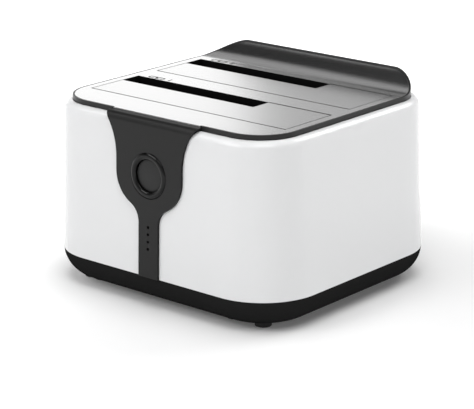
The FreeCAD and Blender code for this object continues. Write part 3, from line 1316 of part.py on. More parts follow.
# ---------------------------------------------------------------- fasteners
def screw(radius, length, head_radius, head_height):
    """A pan-head screw standing on its head, the head's seat at z = 0."""
    shank = Part.makeCylinder(radius, length, vector(0, 0, 0), UP)
    head = Part.makeCylinder(head_radius, head_height, vector(0, 0, -head_height), UP)
    head = head.makeChamfer(head_height / 3, edges_at_height(head, -head_height))
    cross = head_radius * CROSS_REACH
    arm = head_radius * CROSS_ARM
    depth = (-head_height - OVERCUT, -head_height * CROSS_FLOOR)
    slots = box((-cross, cross), (-arm, arm), depth).fuse(box((-arm, arm), (-cross, cross), depth))
    return shank.fuse(head).removeSplitter().cut(slots)


def base_screws():
    """The four screws that pull the deck down onto the sleeve and the tray."""
    pattern = screw(SCREW_RADIUS, SCREW_LENGTH, SCREW_HEAD_RADIUS, SCREW_HEAD_HEIGHT)
    return [pattern.translated(vector(x, y, SCREW_SEAT_Z)) for x, y in post_places()]


def small_screw():
    """One of the small screws used inside."""
    return screw(SMALL_SCREW_RADIUS, SMALL_SCREW_LENGTH, SMALL_SCREW_HEAD_RADIUS, SMALL_SCREW_HEAD_HEIGHT)


def guide_screws():
    """The screws that hold the wells under the deck."""
    seat = DECK_UNDERSIDE_Z - GUIDE_BOSS_DROP - GUIDE_TAB_THICKNESS
    return [small_screw().translated(vector(x, y, seat)) for x, y in guide_screw_places()]


def board_screws():
    """The screws that hold the main board, heads up."""
    screws = []
    for x, y in board_screw_places():
        fastener = small_screw()
        fastener.rotate(vector(0, 0, 0), RIGHT, 180)
        screws.append(fastener.translated(vector(x, y, BOARD_TOP_Z)))
    return screws


def front_board_screws():
    """The screws that hold the front board, heads to the back."""
    screws = []
    for x, z in front_screw_places():
        fastener = small_screw()
        fastener.rotate(vector(0, 0, 0), RIGHT, 90)
        screws.append(fastener.translated(vector(x, front_board_y()[1], z)))
    return screws


# ---------------------------------------------------------------- export
def export(name, shapes):
    """Write one named piece, or one set of like pieces, to parts/NAME.step."""
    shape = shapes
    if isinstance(shapes, (list, tuple)):
        shape = Part.makeCompound(list(shapes))
    shape.exportStep(os.path.join("parts", name + ".step"))
    print(name, len(shape.Solids), "solids", round(shape.Volume, 1), "mm3", shape.isValid())


def main():
    """Build every piece and write it out."""
    os.makedirs("parts", exist_ok=True)
    export("outer_sleeve", outer_sleeve())
    export("base_tray", base_tray())
    export("rubber_feet", rubber_feet())
    export("top_deck", top_deck())
    export("deck_plate", deck_plate())
    export("front_fascia", front_fascia())
    for bay, name in enumerate(BAY_NAMES):
        export(name + "_flap", flap(bay))
        export(name + "_flap_pin", flap_pin(bay))
        export(name + "_flap_spring", flap_spring(bay))
        export(name + "_bay_guide", bay_guide(bay))
        export(name + "_drive_connector", drive_connector(bay))
        export(name + "_drive_contacts", drive_contacts(bay))
    export("button_bezel", button_bezel())
    export("button_cap", button_cap())
    export("switch_plunger", switch_plunger())
    export("tact_switch", tact_switch())
    export("front_board", front_board())
    export("status_lamps", status_lamps())
    export("light_pipe", light_pipe())
    export("ribbon_headers", ribbon_headers())
    export("ribbon_cable", ribbon_cable())
    export("main_board", main_board())
    export("board_chips", board_chips())
    export("board_capacitors", board_capacitors())
    export("power_coil", power_coil())
    export("data_port_shell", data_port_shell())
    export("data_port_insert", data_port_insert())
    export("dc_jack", dc_jack())
    export("dc_jack_pin", dc_jack_pin())
    export("power_switch_housing", power_switch_housing())
    export("power_rocker", power_rocker())
    export("rocker_pin", rocker_pin())
    export("rear_panel", rear_panel())
    export("base_screws", base_screws())
    export("guide_screws", guide_screws())
    export("board_screws", board_screws())
    export("front_board_screws", front_board_screws())


main()
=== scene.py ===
import logging
import math
from dataclasses import dataclass
from enum import Enum
from typing import ClassVar, Sequence

import bmesh
import bpy
from mathutils import Matrix, Vector


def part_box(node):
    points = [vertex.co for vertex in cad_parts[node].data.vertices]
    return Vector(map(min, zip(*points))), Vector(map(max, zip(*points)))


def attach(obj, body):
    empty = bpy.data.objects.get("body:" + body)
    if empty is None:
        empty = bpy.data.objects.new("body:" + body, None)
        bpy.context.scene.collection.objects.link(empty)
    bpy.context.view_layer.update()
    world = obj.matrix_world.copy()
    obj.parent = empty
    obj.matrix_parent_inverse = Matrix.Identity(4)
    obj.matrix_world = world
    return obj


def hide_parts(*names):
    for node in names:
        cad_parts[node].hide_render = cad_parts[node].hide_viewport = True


# The dual-bay drive duplicator, dressed for the studio.
# Metres, X to the right, Y to the back, Z up, with the table at z = 0.

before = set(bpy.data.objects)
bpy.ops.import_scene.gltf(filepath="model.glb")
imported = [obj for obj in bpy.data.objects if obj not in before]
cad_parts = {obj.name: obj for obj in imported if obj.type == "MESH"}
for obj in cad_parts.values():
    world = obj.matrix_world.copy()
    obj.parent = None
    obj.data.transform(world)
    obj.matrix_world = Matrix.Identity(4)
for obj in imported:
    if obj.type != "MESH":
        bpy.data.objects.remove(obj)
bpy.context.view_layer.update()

MM = 0.001
MERGE = 1e-6

GUIDE_WALL = 1.4 * MM
FLAP_REAR_GAP = 0.5 * MM
BAY_WIDTH = 28.1 * MM
SLOT_LENGTH = 71.9 * MM
SLOT_WIDTH = 9.9 * MM

FLAT_WITHIN = math.radians(0.1)
EASED_FROM = math.radians(32)
SHARP_FROM = math.radians(40)
SHARP_BESIDE_EASED = math.radians(50)
QUARTER = math.pi / 2
EASING_STEPS = 2
LATHE_STEPS = 32
EASING_PROFILE = 0.5
NOISE_MIDDLE = 0.5
WHITE = (1.0, 1.0, 1.0, 1.0)

# A screen's tone curve is straight below its knee and a power above it.
CURVE_SLOPE = 12.92
CURVE_KNEE = 0.04045
CURVE_SHIFT = 0.055
CURVE_POWER = 2.4

# The Mix node has sockets of one name for each kind of value, and these are the ones for colours.
MIX_SHARE, MIX_FIRST, MIX_SECOND, MIX_RESULT = 0, 6, 7, 2
# So has the Random Value node, and these are the ones for plain numbers.
RANDOM_LEAST, RANDOM_MOST, RANDOM_RESULT = 2, 3, 1

FLOAT, COLOUR, VECTOR, COUNT, OBJECT, MATERIAL, GEOMETRY = (
    "NodeSocket" + kind for kind in ("Float", "Color", "Vector", "Int", "Object", "Material", "Geometry")
)

log = logging.getLogger("duplicator")

Colour = tuple[float, float, float, float]
Pair = tuple[float, float]
Triple = tuple[float, float, float]
Place = tuple[Vector, float]
Socket = bpy.types.NodeSocket
Sockets = bpy.types.bpy_prop_collection
Mesh = bpy.types.Mesh
Shape = bmesh.types.BMesh


def tone(red: float, green: float, blue: float) -> Colour:
    """Turns screen values into the linear colour that shaders take.

    Args:
        red: Screen red, 0 to 1.
        green: Screen green, 0 to 1.
        blue: Screen blue, 0 to 1.

    Returns:
        The linear colour, which is opaque.
    """
    linear = []
    for value in (red, green, blue):
        power = ((value + CURVE_SHIFT) / (1 + CURVE_SHIFT)) ** CURVE_POWER
        linear.append(value / CURVE_SLOPE if value <= CURVE_KNEE else power)
    return (*linear, 1.0)


def grey(value: float) -> Colour:
    """Returns a neutral screen tone as a linear colour."""
    return tone(value, value, value)


def labelled(values: dict[str, object]) -> dict[str, object]:
    """Puts values under their sockets' labels, so that grain_size becomes Grain size."""
    return {name.replace("_", " ").capitalize(): value for name, value in values.items()}


# ---------------------------------------------------------------- node trees
class NodeTree:
    """Short calls for adding and joining the nodes of one tree."""

    def __init__(self, tree: bpy.types.NodeTree) -> None:
        """Takes the shader or geometry tree to build in."""
        self.tree = tree

    @classmethod
    def emptied(cls, owner: bpy.types.ID) -> "NodeTree":
        """Clears the tree of a material or a world.

        Args:
            owner: The material or world.

        Returns:
            Its empty tree.
        """
        owner.use_nodes = True
        owner.node_tree.nodes.clear()
        return cls(owner.node_tree)

    def add(self, kind: str, inputs: dict | None = None, **settings: object) -> bpy.types.Node:
        """Adds a node.

        Args:
            kind: The node's type name.
            inputs: Sockets to join or plain values, by input name or index.
            **settings: The node's own properties.

        Returns:
            The new node.
        """
        node = self.tree.nodes.new(kind)
        for name, value in settings.items():
            setattr(node, name, value)
        for name, value in (inputs or {}).items():
            if isinstance(value, Socket):
                self.tree.links.new(value, node.inputs[name])
            else:
                node.inputs[name].default_value = value
        return node

    def math(self, operation: str, *values: object) -> Socket:
        """Adds a Math node."""
        return self.add("ShaderNodeMath", dict(enumerate(values)), operation=operation).outputs[0]

    def vector(self, x: object = 0.0, y: object = 0.0, z: object = 0.0) -> Socket:
        """Joins three numbers into a vector."""
        return self.add("ShaderNodeCombineXYZ", {0: x, 1: y, 2: z}).outputs[0]

    def coordinates(self, name: str = "Object") -> Socket:
        """Returns where a point lies, in the object's own coordinates unless another set is named."""
        return self.add("ShaderNodeTexCoord").outputs[name]

    def noise(self, place: Socket, scale: object, detail: float, **more: float) -> Socket:
        """Adds noise round its middle value of one half."""
        inputs = {"Vector": place, "Scale": scale, "Detail": detail, **labelled(more)}
        return self.add("ShaderNodeTexNoise", inputs).outputs["Fac"]

    def ramp(self, value: Socket, start: float, end: float, low: float = 0.0, high: float = 1.0) -> Socket:
        """Goes softly from low to high while the value goes from start to end."""
        inputs = {"Value": value, "From Min": start, "From Max": end, "To Min": low, "To Max": high}
        return self.add("ShaderNodeMapRange", inputs, interpolation_type="SMOOTHSTEP").outputs[0]

    def blend(self, share: Socket, first: object, second: object) -> Socket:
        """Mixes a share of the second colour into the first."""
        inputs = {MIX_SHARE: share, MIX_FIRST: first, MIX_SECOND: second}
        return self.add("ShaderNodeMix", inputs, data_type="RGBA").outputs[MIX_RESULT]

    def shifted(self, colour: Socket, spread: Socket, by: Socket) -> Socket:
        """Makes a colour lighter or darker by a share of the spread."""
        factor = self.math("MULTIPLY_ADD", by, spread, 1.0)
        return self.add("ShaderNodeVectorMath", {0: colour, "Scale": factor}, operation="SCALE").outputs[0]

    def relief(self, height: Socket, depth: float) -> Socket:
        """Turns heights, 0 to 1, into normals."""
        return self.add("ShaderNodeBump", {"Strength": 1.0, "Distance": depth, "Height": height}).outputs[0]

    def moved(self, shape: Socket, by: object, scale: object = (1.0, 1.0, 1.0)) -> Socket:
        """Moves and scales a geometry."""
        inputs = {"Geometry": shape, "Translation": by, "Scale": scale}
        return self.add("GeometryNodeTransform", inputs).outputs[0]

    def block(self, size: object, centre: object) -> Socket:
        """Adds a block that serves as a cutting tool."""
        return self.moved(self.add("GeometryNodeMeshCube", {"Size": size}).outputs[0], centre)

    def linked(self, kind: str, name: str, shapes: Sequence[Socket], **more: object) -> Socket:
        """Adds a node that takes several geometries in one socket.

        Args:
            kind: The node's type name.
            name: The socket's name.
            shapes: The geometries, in order.
            **more: What else the node is added with.

        Returns:
            The node's geometry.
        """
        node = self.add(kind, **more)
        for shape in shapes:
            self.tree.links.new(shape, node.inputs[name])
        return node.outputs[0]

    def swept(self, path: Socket, corners: int, radius: Socket) -> Socket:
        """Sweeps a ring along a path and closes its ends.

        Args:
            path: The path.
            corners: The ring's corners.
            radius: The ring's radius.

        Returns:
            The solid rod.
        """
        ring = self.add("GeometryNodeCurvePrimitiveCircle", {"Resolution": corners, "Radius": radius})
        inputs = {"Curve": path, "Profile Curve": ring.outputs[0], "Fill Caps": True}
        return self.add("GeometryNodeCurveToMesh", inputs).outputs[0]

    def turn(self, angle: Socket) -> Socket:
        """Returns a turn about Z."""
        return self.add("FunctionNodeAxisAngleToRotation", {"Axis": (0, 0, 1), "Angle": angle}).outputs[0]

    def repeated(self, shape: Socket, points: Socket, rotation: object = (0.0, 0.0, 0.0)) -> Socket:
        """Sets a shape on each point, turned as the rotation says."""
        inputs = {"Points": points, "Instance": shape, "Rotation": rotation}
        return self.add("GeometryNodeInstanceOnPoints", inputs).outputs[0]


class NodeGroup(NodeTree):
    """A node group with named sockets, which is built once."""

    name = "group"
    kind = "ShaderNodeTree"
    inputs: dict[str, str] = {}
    outputs: dict[str, str] = {}

    def __init__(self, tree: bpy.types.NodeTree) -> None:
        """Takes the group to fill, and keeps what it is given."""
        super().__init__(tree)
        self.given = self.add("NodeGroupInput").outputs

    @classmethod
    def group(cls) -> bpy.types.NodeTree:
        """Builds the group when it is first asked for.

        Returns:
            The group.
        """
        found = bpy.data.node_groups.get(cls.name)
        if found is None:
            found = bpy.data.node_groups.new(cls.name, cls.kind)
            for way, sockets in (("INPUT", cls.inputs), ("OUTPUT", cls.outputs)):
                for label, kind in sockets.items():
                    found.interface.new_socket(label, in_out=way, socket_type=kind)
            filled = cls(found)
            filled.add("NodeGroupOutput", filled.build())
        return found

    def build(self) -> dict[str, Socket]:
        """Builds the group's nodes.

        Returns:
            The sockets that the outputs take, by name.
        """
        raise NotImplementedError


# ---------------------------------------------------------------- shared shader effects
class ShaderEffect(NodeGroup):
    """An effect that is placed in many materials, each with its own values."""

    @classmethod
    def placed_in(cls, tree: NodeTree, **values: object) -> Sockets:
        """Places the effect in a material's tree and returns its outputs."""
        return tree.add("ShaderNodeGroup", labelled(values), node_tree=cls.group()).outputs


class MouldedSurface(ShaderEffect):
    """Spark-eroded grain and slow flow marks of moulded plastic."""

    name = "moulded_surface"
    inputs = {
        "Colour": COLOUR, "Roughness": FLOAT, "Grain size": FLOAT, "Flow spread": FLOAT, "Tone spread": FLOAT,
    }
    outputs = {"Colour": COLOUR, "Roughness": FLOAT, "Height": FLOAT}
    grain_detail = 2.0
    grain_roughness = 0.6
    flow_scale = 38.0
    flow_detail = 3.0
    flow_distortion = 0.8

    def build(self) -> dict[str, Socket]:
        """Builds grain from fine noise, and flow marks from slow noise.

        Returns:
            The outputs' sockets by name.
        """
        given, place = self.given, self.coordinates()
        fineness = self.math("DIVIDE", 1.0, given["Grain size"])
        grain = self.noise(place, fineness, self.grain_detail, roughness=self.grain_roughness)
        flow = self.noise(place, self.flow_scale, self.flow_detail, distortion=self.flow_distortion)
        flow = self.math("SUBTRACT", flow, NOISE_MIDDLE)
        both = self.math("ADD", flow, self.math("SUBTRACT", grain, NOISE_MIDDLE))
        rough = self.math("MULTIPLY_ADD", flow, given["Flow spread"], given["Roughness"])
        toned = self.shifted(given["Colour"], given["Tone spread"], both)
        return {"Colour": toned, "Roughness": rough, "Height": grain}


class BrushedLines(ShaderEffect):
    """Fine lines drawn along one direction of a sheet."""

    name = "brushed_lines"
    inputs = {
        "Colour": COLOUR, "Roughness": FLOAT, "Line pitch": FLOAT, "Line length": FLOAT,
        "Tone spread": FLOAT, "Roughness spread": FLOAT,
    }
    outputs = {"Colour": COLOUR, "Roughness": FLOAT, "Height": FLOAT}
    detail = 3.0

    def build(self) -> dict[str, Socket]:
        """Builds the lines from noise that is stretched along X.

        Returns:
            The outputs' sockets by name.
        """
        given = self.given
        along = self.math("DIVIDE", 1.0, given["Line length"])
        across = self.math("DIVIDE", 1.0, given["Line pitch"])
        stretch = {0: self.coordinates(), 1: self.vector(along, across, across)}
        place = self.add("ShaderNodeVectorMath", stretch, operation="MULTIPLY").outputs[0]
        lines = self.noise(place, 1.0, self.detail)
        centred = self.math("SUBTRACT", lines, NOISE_MIDDLE)
        rough = self.math("MULTIPLY_ADD", centred, given["Roughness spread"], given["Roughness"])
        toned = self.shifted(given["Colour"], given["Tone spread"], centred)
        return {"Colour": toned, "Roughness": rough, "Height": lines}


class SettledDust(ShaderEffect):
    """A trace of dust on what faces up."""

    name = "settled_dust"
    inputs = {"Colour": COLOUR, "Roughness": FLOAT, "Amount": FLOAT}
    outputs = {"Colour": COLOUR, "Roughness": FLOAT}
    dust: Colour = (0.55, 0.53, 0.5, 1.0)
    fineness = 900.0
    detail = 4.0

    def build(self) -> dict[str, Socket]:
        """Mixes in dust by how far a face looks up, broken up by noise.

        Returns:
            The outputs' sockets by name.
        """
        normal = self.add("ShaderNodeNewGeometry").outputs["Normal"]
        up = self.add("ShaderNodeSeparateXYZ", {0: normal}).outputs["Z"]
        specks = self.noise(self.coordinates(), self.fineness, self.detail)
        patches = self.math("MULTIPLY", specks, self.math("MAXIMUM", up, 0.0))
        mask = self.math("MULTIPLY", patches, self.given["Amount"])
        coloured = self.blend(mask, self.given["Colour"], self.dust)
        return {"Colour": coloured, "Roughness": self.math("ADD", self.given["Roughness"], mask)}


class BoardTraces(ShaderEffect):
    """Solder mask with copper tracks under it."""

    name = "board_traces"
    inputs = {"Mask colour": COLOUR, "Track colour": COLOUR, "Pitch": FLOAT}
    outputs = {"Colour": COLOUR, "Height": FLOAT}
    irregularity = 0.7
    track_at = 0.42
    track_half = 0.09

    def build(self) -> dict[str, Socket]:
        """Draws tracks as the rims of square cells.

        Returns:
            The outputs' sockets by name.
        """
        scale = self.math("DIVIDE", 1.0, self.given["Pitch"])
        inputs = {"Vector": self.coordinates(), "Scale": scale, "Randomness": self.irregularity}
        cells = self.add("ShaderNodeTexVoronoi", inputs, distance="CHEBYCHEV", feature="F1")
        off_track = self.math("SUBTRACT", cells.outputs["Distance"], self.track_at)
        off_track = self.math("ABSOLUTE", off_track)
        tracks = self.math("LESS_THAN", off_track, self.track_half)
        coloured = self.blend(tracks, self.given["Mask colour"], self.given["Track colour"])
        return {"Colour": coloured, "Height": tracks}


# ---------------------------------------------------------------- finishes
@dataclass(frozen=True)
class Finish:
    """What every finish has: a name, the slot of the record that it stands for, and an effect.

    The effect's inputs are fields of the finish, so that Grain size takes its grain_size.
    """

    name: str
    slot: str
    effect: ClassVar[type[ShaderEffect]] = ShaderEffect

    def material(self) -> bpy.types.Material:
        """Builds the material when it is first asked for.

        Returns:
            The material.
        """
        found = bpy.data.materials.get(self.name)
        if found is None:
            found = bpy.data.materials.new(self.name)
            tree = NodeTree.emptied(found)
            shader = tree.add("ShaderNodeBsdfPrincipled", self.shade(tree))
            tree.add("ShaderNodeOutputMaterial", {"Surface": shader.outputs[0]})
        return found

    def shade(self, tree: NodeTree) -> dict[str, object]:
        """Builds what the shader takes.

        Args:
            tree: The material's tree.

        Returns:
            Sockets and plain values, by the Principled shader's inputs.
        """
        raise NotImplementedError

    def surface(self, tree: NodeTree) -> Sockets:
        """Places the finish's effect with the finish's own values, and returns its outputs."""
        names = [label.replace(" ", "_").lower() for label in self.effect.inputs]
        return self.effect.placed_in(tree, **{name: getattr(self, name) for name in names})

    def dusted(self, tree: NodeTree, depth: float, amount: float) -> dict[str, object]:
        """Settles dust on the surface and gives it its relief.

        Args:
            tree: The material's tree.
            depth: How deep the relief is.
            amount: How much dust there is.

        Returns:
            The shader's inputs that change over the surface.
        """
        surface = self.surface(tree)
        colour, rough = surface["Colour"], surface["Roughness"]
        dust = SettledDust.placed_in(tree, colour=colour, roughness=rough, amount=amount)
        normal = tree.relief(surface["Height"], depth)
        return {"Base Color": dust["Colour"], "Roughness": dust["Roughness"], "Normal": normal}


@dataclass(frozen=True)
class Moulding(Finish):
    """Moulded plastic or rubber: grain, flow marks and a trace of dust."""

    effect = MouldedSurface
    colour: Colour
    roughness: float
    grain_size: float = 0.35 * MM
    grain_depth: float = 0.004 * MM
    flow_spread: float = 0.06
    tone_spread: float = 0.03
    dust: float = 0.01
    specular: float = 0.5

    def shade(self, tree: NodeTree) -> dict[str, object]:
        """Joins the grain, the dust and the gloss."""
        return {**self.dusted(tree, self.grain_depth, self.dust), "Specular IOR Level": self.specular}


@dataclass(frozen=True)
class DrawnMetal(Finish):
    """Metal with fine lines along X."""

    effect = BrushedLines
    colour: Colour
    roughness: float
    line_length: float
    line_pitch: float = 0.22 * MM
    line_depth: float = 0.002 * MM
    tone_spread: float = 0.06
    roughness_spread: float = 0.1
    dust: float = 0.01

    def shade(self, tree: NodeTree) -> dict[str, object]:
        """Joins the lines and the dust."""
        return {**self.dusted(tree, self.line_depth, self.dust), "Metallic": 1.0}


@dataclass(frozen=True)
class ClearMoulding(Finish):
    """Clear plastic with faint flow marks."""

    effect = MouldedSurface
    colour: Colour
    roughness: float
    grain_size: float = 0.4 * MM
    flow_spread: float = 0.05
    tone_spread: float = 0.03
    transmission: float = 0.85
    refraction: float = 1.49

    def shade(self, tree: NodeTree) -> dict[str, object]:
        """Joins the flow marks to plain transmission.

        Args:
            tree: The material's tree.

        Returns:
            The shader's inputs.
        """
        surface = self.surface(tree)
        return {
            "Base Color": surface["Colour"], "Roughness": surface["Roughness"],
            "Transmission Weight": self.transmission, "IOR": self.refraction,
        }


@dataclass(frozen=True)
class BoardLaminate(Finish):
    """A circuit board with tracks under its mask."""

    effect = BoardTraces
    mask_colour: Colour
    track_colour: Colour
    pitch: float = 1.6 * MM
    track_height: float = 0.03 * MM
    roughness: float = 0.35

    def shade(self, tree: NodeTree) -> dict[str, object]:
        """Joins the tracks' colour and relief.

        Args:
            tree: The material's tree.

        Returns:
            The shader's inputs.
        """
        traces = self.surface(tree)
        normal = tree.relief(traces["Height"], self.track_height)
        return {"Base Color": traces["Colour"], "Roughness": self.roughness, "Normal": normal}


WHITE_GLOSS = Moulding(
    "white_gloss_shell", "white_gloss", tone(0.90, 0.902, 0.905), 0.14,
    grain_size=2.5 * MM, grain_depth=0.0012 * MM, tone_spread=0.006, flow_spread=0.03, dust=0.004,
)
TRAY_PLASTIC = Moulding(
    "tray_black", "black_plastic", grey(0.14), 0.45, grain_depth=0.006 * MM, specular=0.0
)
WELL_PLASTIC = Moulding(
    "well_black", "black_plastic", grey(0.06), 0.6, grain_depth=0.006 * MM, specular=0.03
)
DECK_PLASTIC = Moulding("deck_dark", "dark_plastic", grey(0.14), 0.34, specular=0.2)
FASCIA_PLASTIC = Moulding(
    "fascia_grey", "grey_plastic", grey(0.12), 0.32, grain_depth=0.006 * MM, specular=0.16
)
PANEL_PLASTIC = Moulding(
    "rear_panel_grey", "grey_plastic", grey(0.155), 0.42, grain_depth=0.007 * MM, specular=0.3
)
RING_GLOSS = Moulding(
    "ring_gloss", "black_gloss", grey(0.03), 0.1, grain_depth=0.0005 * MM, flow_spread=0.02, specular=0.2
)
CAP_PLASTIC = Moulding("cap_matt", "button_plastic", grey(0.12), 0.5, grain_depth=0.008 * MM, specular=0.25)
SWITCH_PLASTIC = Moulding("switch_black", "switch_plastic", grey(0.12), 0.4)
FRAME_PLASTIC = Moulding("switch_frame_black", "black_plastic", grey(0.11), 0.32, specular=0.35)
ROCKER_PLASTIC = Moulding("rocker_black", "rocker_plastic", grey(0.13), 0.3)
RUBBER = Moulding("foot_rubber", "black_rubber", grey(0.12), 0.8, grain_size=0.6 * MM, grain_depth=0.02 * MM)
SOCKET_PLASTIC = Moulding("socket_black", "connector_plastic", grey(0.11), 0.4)
PORT_PLASTIC = Moulding("port_pale", "port_plastic", grey(0.82), 0.4)
CHIP_PLASTIC = Moulding("chip_black", "chip_plastic", grey(0.16), 0.55, grain_size=0.15 * MM)
LAMP_PLASTIC = Moulding("lamp_milky", "lamp_plastic", tone(0.80, 0.82, 0.86), 0.3)
VINYL = Moulding("ribbon_grey", "ribbon_vinyl", grey(0.62), 0.5)
# Dark ink round each flap's opening: painted shade that stands in for the shadow in the gap between flap and
# sheet.
GAP_SHADE_INK = Moulding("seam_dark", "dark_plastic", grey(0.16), 0.6, grain_size=0.1 * MM, specular=0.1)
LABEL_INK = Moulding("label_ink", "dark_plastic", grey(0.10), 0.6, grain_size=0.1 * MM, specular=0.1)
ROCKER_INK = Moulding("rocker_ink", "rocker_plastic", grey(0.85), 0.5, grain_size=0.1 * MM)
SHEET_LINES = {"line_depth": 0.0006 * MM, "tone_spread": 0.05, "roughness_spread": 0.05}
PLATE_SHEET = DrawnMetal("plate_silver", "silver_sheet", grey(0.88), 0.21, 55 * MM, **SHEET_LINES)
FLAP_PAINT = DrawnMetal("flap_silver", "silver_paint", grey(0.88), 0.22, 55 * MM, **SHEET_LINES)
STEEL = DrawnMetal("pin_steel", "steel", grey(0.72), 0.25, 3 * MM)
SPRING_STEEL = DrawnMetal("wire_steel", "spring_steel", grey(0.62), 0.3, 2 * MM)
SCREW_STEEL = DrawnMetal("screw_black_zinc", "screw_steel", grey(0.45), 0.35, 1 * MM)
GOLD = DrawnMetal("contact_gold", "gold_contacts", tone(0.93, 0.76, 0.42), 0.22, 4 * MM)
CAN_METAL = DrawnMetal("can_aluminium", "can_metal", grey(0.8), 0.3, 8 * MM)
LEG_METAL = DrawnMetal("leg_tin", "port_metal", grey(0.75), 0.3, 1 * MM)
PORT_METAL = DrawnMetal("port_nickel", "port_metal", grey(0.78), 0.24, 12 * MM)
CLEAR = ClearMoulding("pipe_smoked", "clear_plastic", grey(0.05), 0.12)
BOARD = BoardLaminate("board_green", "circuit_board", tone(0.05, 0.30, 0.17), tone(0.12, 0.42, 0.25))


# ---------------------------------------------------------------- what the frame gives
@dataclass(frozen=True)
class Island:
    """One closed solid of a node, by its box."""

    low: Vector
    high: Vector

    @property
    def centre(self) -> Vector:
        """The middle of the box."""
        return (self.low + self.high) / 2

    @property
    def size(self) -> Vector:
        """The box's lengths."""
        return self.high - self.low


def welded(node: str) -> Shape:
    """Copies a node's mesh and joins its loose triangles.

    Args:
        node: The node's name.

    Returns:
        The copy, which the caller frees.
    """
    shape = bmesh.new()
    shape.from_mesh(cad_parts[node].data)
    bmesh.ops.remove_doubles(shape, verts=shape.verts, dist=MERGE)
    return shape


def islands(node: str) -> list[Island]:
    """Finds the separate solids of a node.

    Args:
        node: The node's name.

    Returns:
        The solids, in the order of their places.
    """
    shape = welded(node)
    unseen = set(shape.verts)
    found = []
    while unseen:
        front = [unseen.pop()]
        members = []
        while front:
            vert = front.pop()
            members.append(vert.co.copy())
            fresh = {edge.other_vert(vert) for edge in vert.link_edges} & unseen
            unseen -= fresh
            front.extend(fresh)
        low, high = (Vector([end(values) for values in zip(*members)]) for end in (min, max))
        found.append(Island(low, high))
    shape.free()
    return sorted(found, key=lambda island: tuple(island.centre))


class Bay(Enum):
    """The two bays, from the front."""

    FRONT = "front"
    REAR = "rear"

    def part(self, name: str) -> str:
        """Returns the name of one of the bay's parts."""
        return self.value + "_" + name

    def rear_wall(self) -> float:
        """Returns how far back the bay reaches: its flap's free edge and the gap behind it."""
        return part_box(self.part("flap"))[1][1] + FLAP_REAR_GAP

    def left_wall(self) -> float:
        """Returns where the bay's left wall stands."""
        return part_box(self.part("bay_guide"))[0][0] + GUIDE_WALL

    def top(self) -> float:
        """Returns the height of the closed flap's face."""
        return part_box(self.part("flap"))[1][2]


# ---------------------------------------------------------------- meshes
class Edge(Enum):
    """How far a moulded or folded edge is eased, in metres."""

    FOLDED = 0.05 * MM
    CRISP = 0.10 * MM
    EASED = 0.20 * MM


def placed(name: str, data: bpy.types.ID) -> bpy.types.Object:
    """Adds an object to the scene.

    Args:
        name: Its name.
        data: Its mesh, curve, lamp or camera.

    Returns:
        The object, on the origin.
    """
    thing = bpy.data.objects.new(name, data)
    bpy.context.scene.collection.objects.link(thing)
    return thing


def applied(helper: bpy.types.Object) -> Mesh:
    """Makes a plain mesh of a helper with its modifiers applied, and removes the helper.

    Args:
        helper: An object that only serves to carry modifiers or a curve.

    Returns:
        The plain mesh.
    """
    graph = bpy.context.evaluated_depsgraph_get()
    mesh = bpy.data.meshes.new_from_object(helper.evaluated_get(graph), depsgraph=graph)
    bpy.data.objects.remove(helper)
    return mesh


def as_mesh(name: str, shape: Shape) -> Mesh:
    """Writes a shape to a mesh and frees the shape.

    Args:
        name: The mesh's name.
        shape: The shape.

    Returns:
        The mesh.
    """
    mesh = bpy.data.meshes.new(name)
    shape.to_mesh(mesh)
    shape.free()
    return mesh


def smoothed(mesh: Mesh, sharp: float = SHARP_FROM) -> Mesh:
    """Shades a mesh smooth, apart from its sharp edges.

    Args:
        mesh: The mesh, which is changed.
        sharp: The angle from which an edge stays sharp.

    Returns:
        The same mesh.
    """
    for polygon in mesh.polygons:
        polygon.use_smooth = True
    mesh.set_sharp_from_angle(angle=sharp)
    return mesh


def closed_mesh(name: str, shape: Shape) -> Mesh:
    """Turns a closed shape into a mesh whose faces look outwards.

    Args:
        name: The mesh's name.
        shape: The shape, which is freed.

    Returns:
        The mesh.
    """
    bmesh.ops.remove_doubles(shape, verts=shape.verts, dist=MERGE)
    bmesh.ops.recalc_face_normals(shape, faces=shape.faces)
    return smoothed(as_mesh(name, shape))


def prism(name: str, outline: Sequence[Vector], along: Vector) -> Mesh:
    """Draws a flat outline out along a vector.

    Args:
        name: The mesh's name.
        outline: The outline's corners in order.
        along: How far and which way it is drawn.

    Returns:
        The closed mesh.
    """
    shape = bmesh.new()
    near = [shape.verts.new(point) for point in outline]
    far = [shape.verts.new(point + along) for point in outline]
    shape.faces.new(near)
    shape.faces.new(far[::-1])
    for index, vert in enumerate(near):
        after = (index + 1) % len(near)
        shape.faces.new((vert, far[index], far[after], near[after]))
    return closed_mesh(name, shape)


def turned(profile: Sequence[Pair]) -> Mesh:
    """Turns a profile about Z, as on a lathe.

    Args:
        profile: Radius and height of each corner, from the axis round to the axis.

    Returns:
        The closed mesh.
    """
    shape = bmesh.new()
    verts = [shape.verts.new((radius, 0.0, height)) for radius, height in profile]
    edges = [shape.edges.new(pair) for pair in zip(verts, verts[1:])]
    bmesh.ops.spin(
        shape, geom=verts + edges, cent=(0, 0, 0), axis=(0, 0, 1), angle=math.tau,
        steps=LATHE_STEPS, use_merge=True,
    )
    shape.verts.index_update()
    count = len(shape.verts)

    def place(face: bmesh.types.BMFace) -> int:
        """Returns the face's place by its first and last corners, as spin orders faces by chance."""
        corners = [vert.index for vert in face.verts]
        return min(corners) * count + max(corners)

    shape.faces.sort(key=place)
    return closed_mesh("turned", shape)


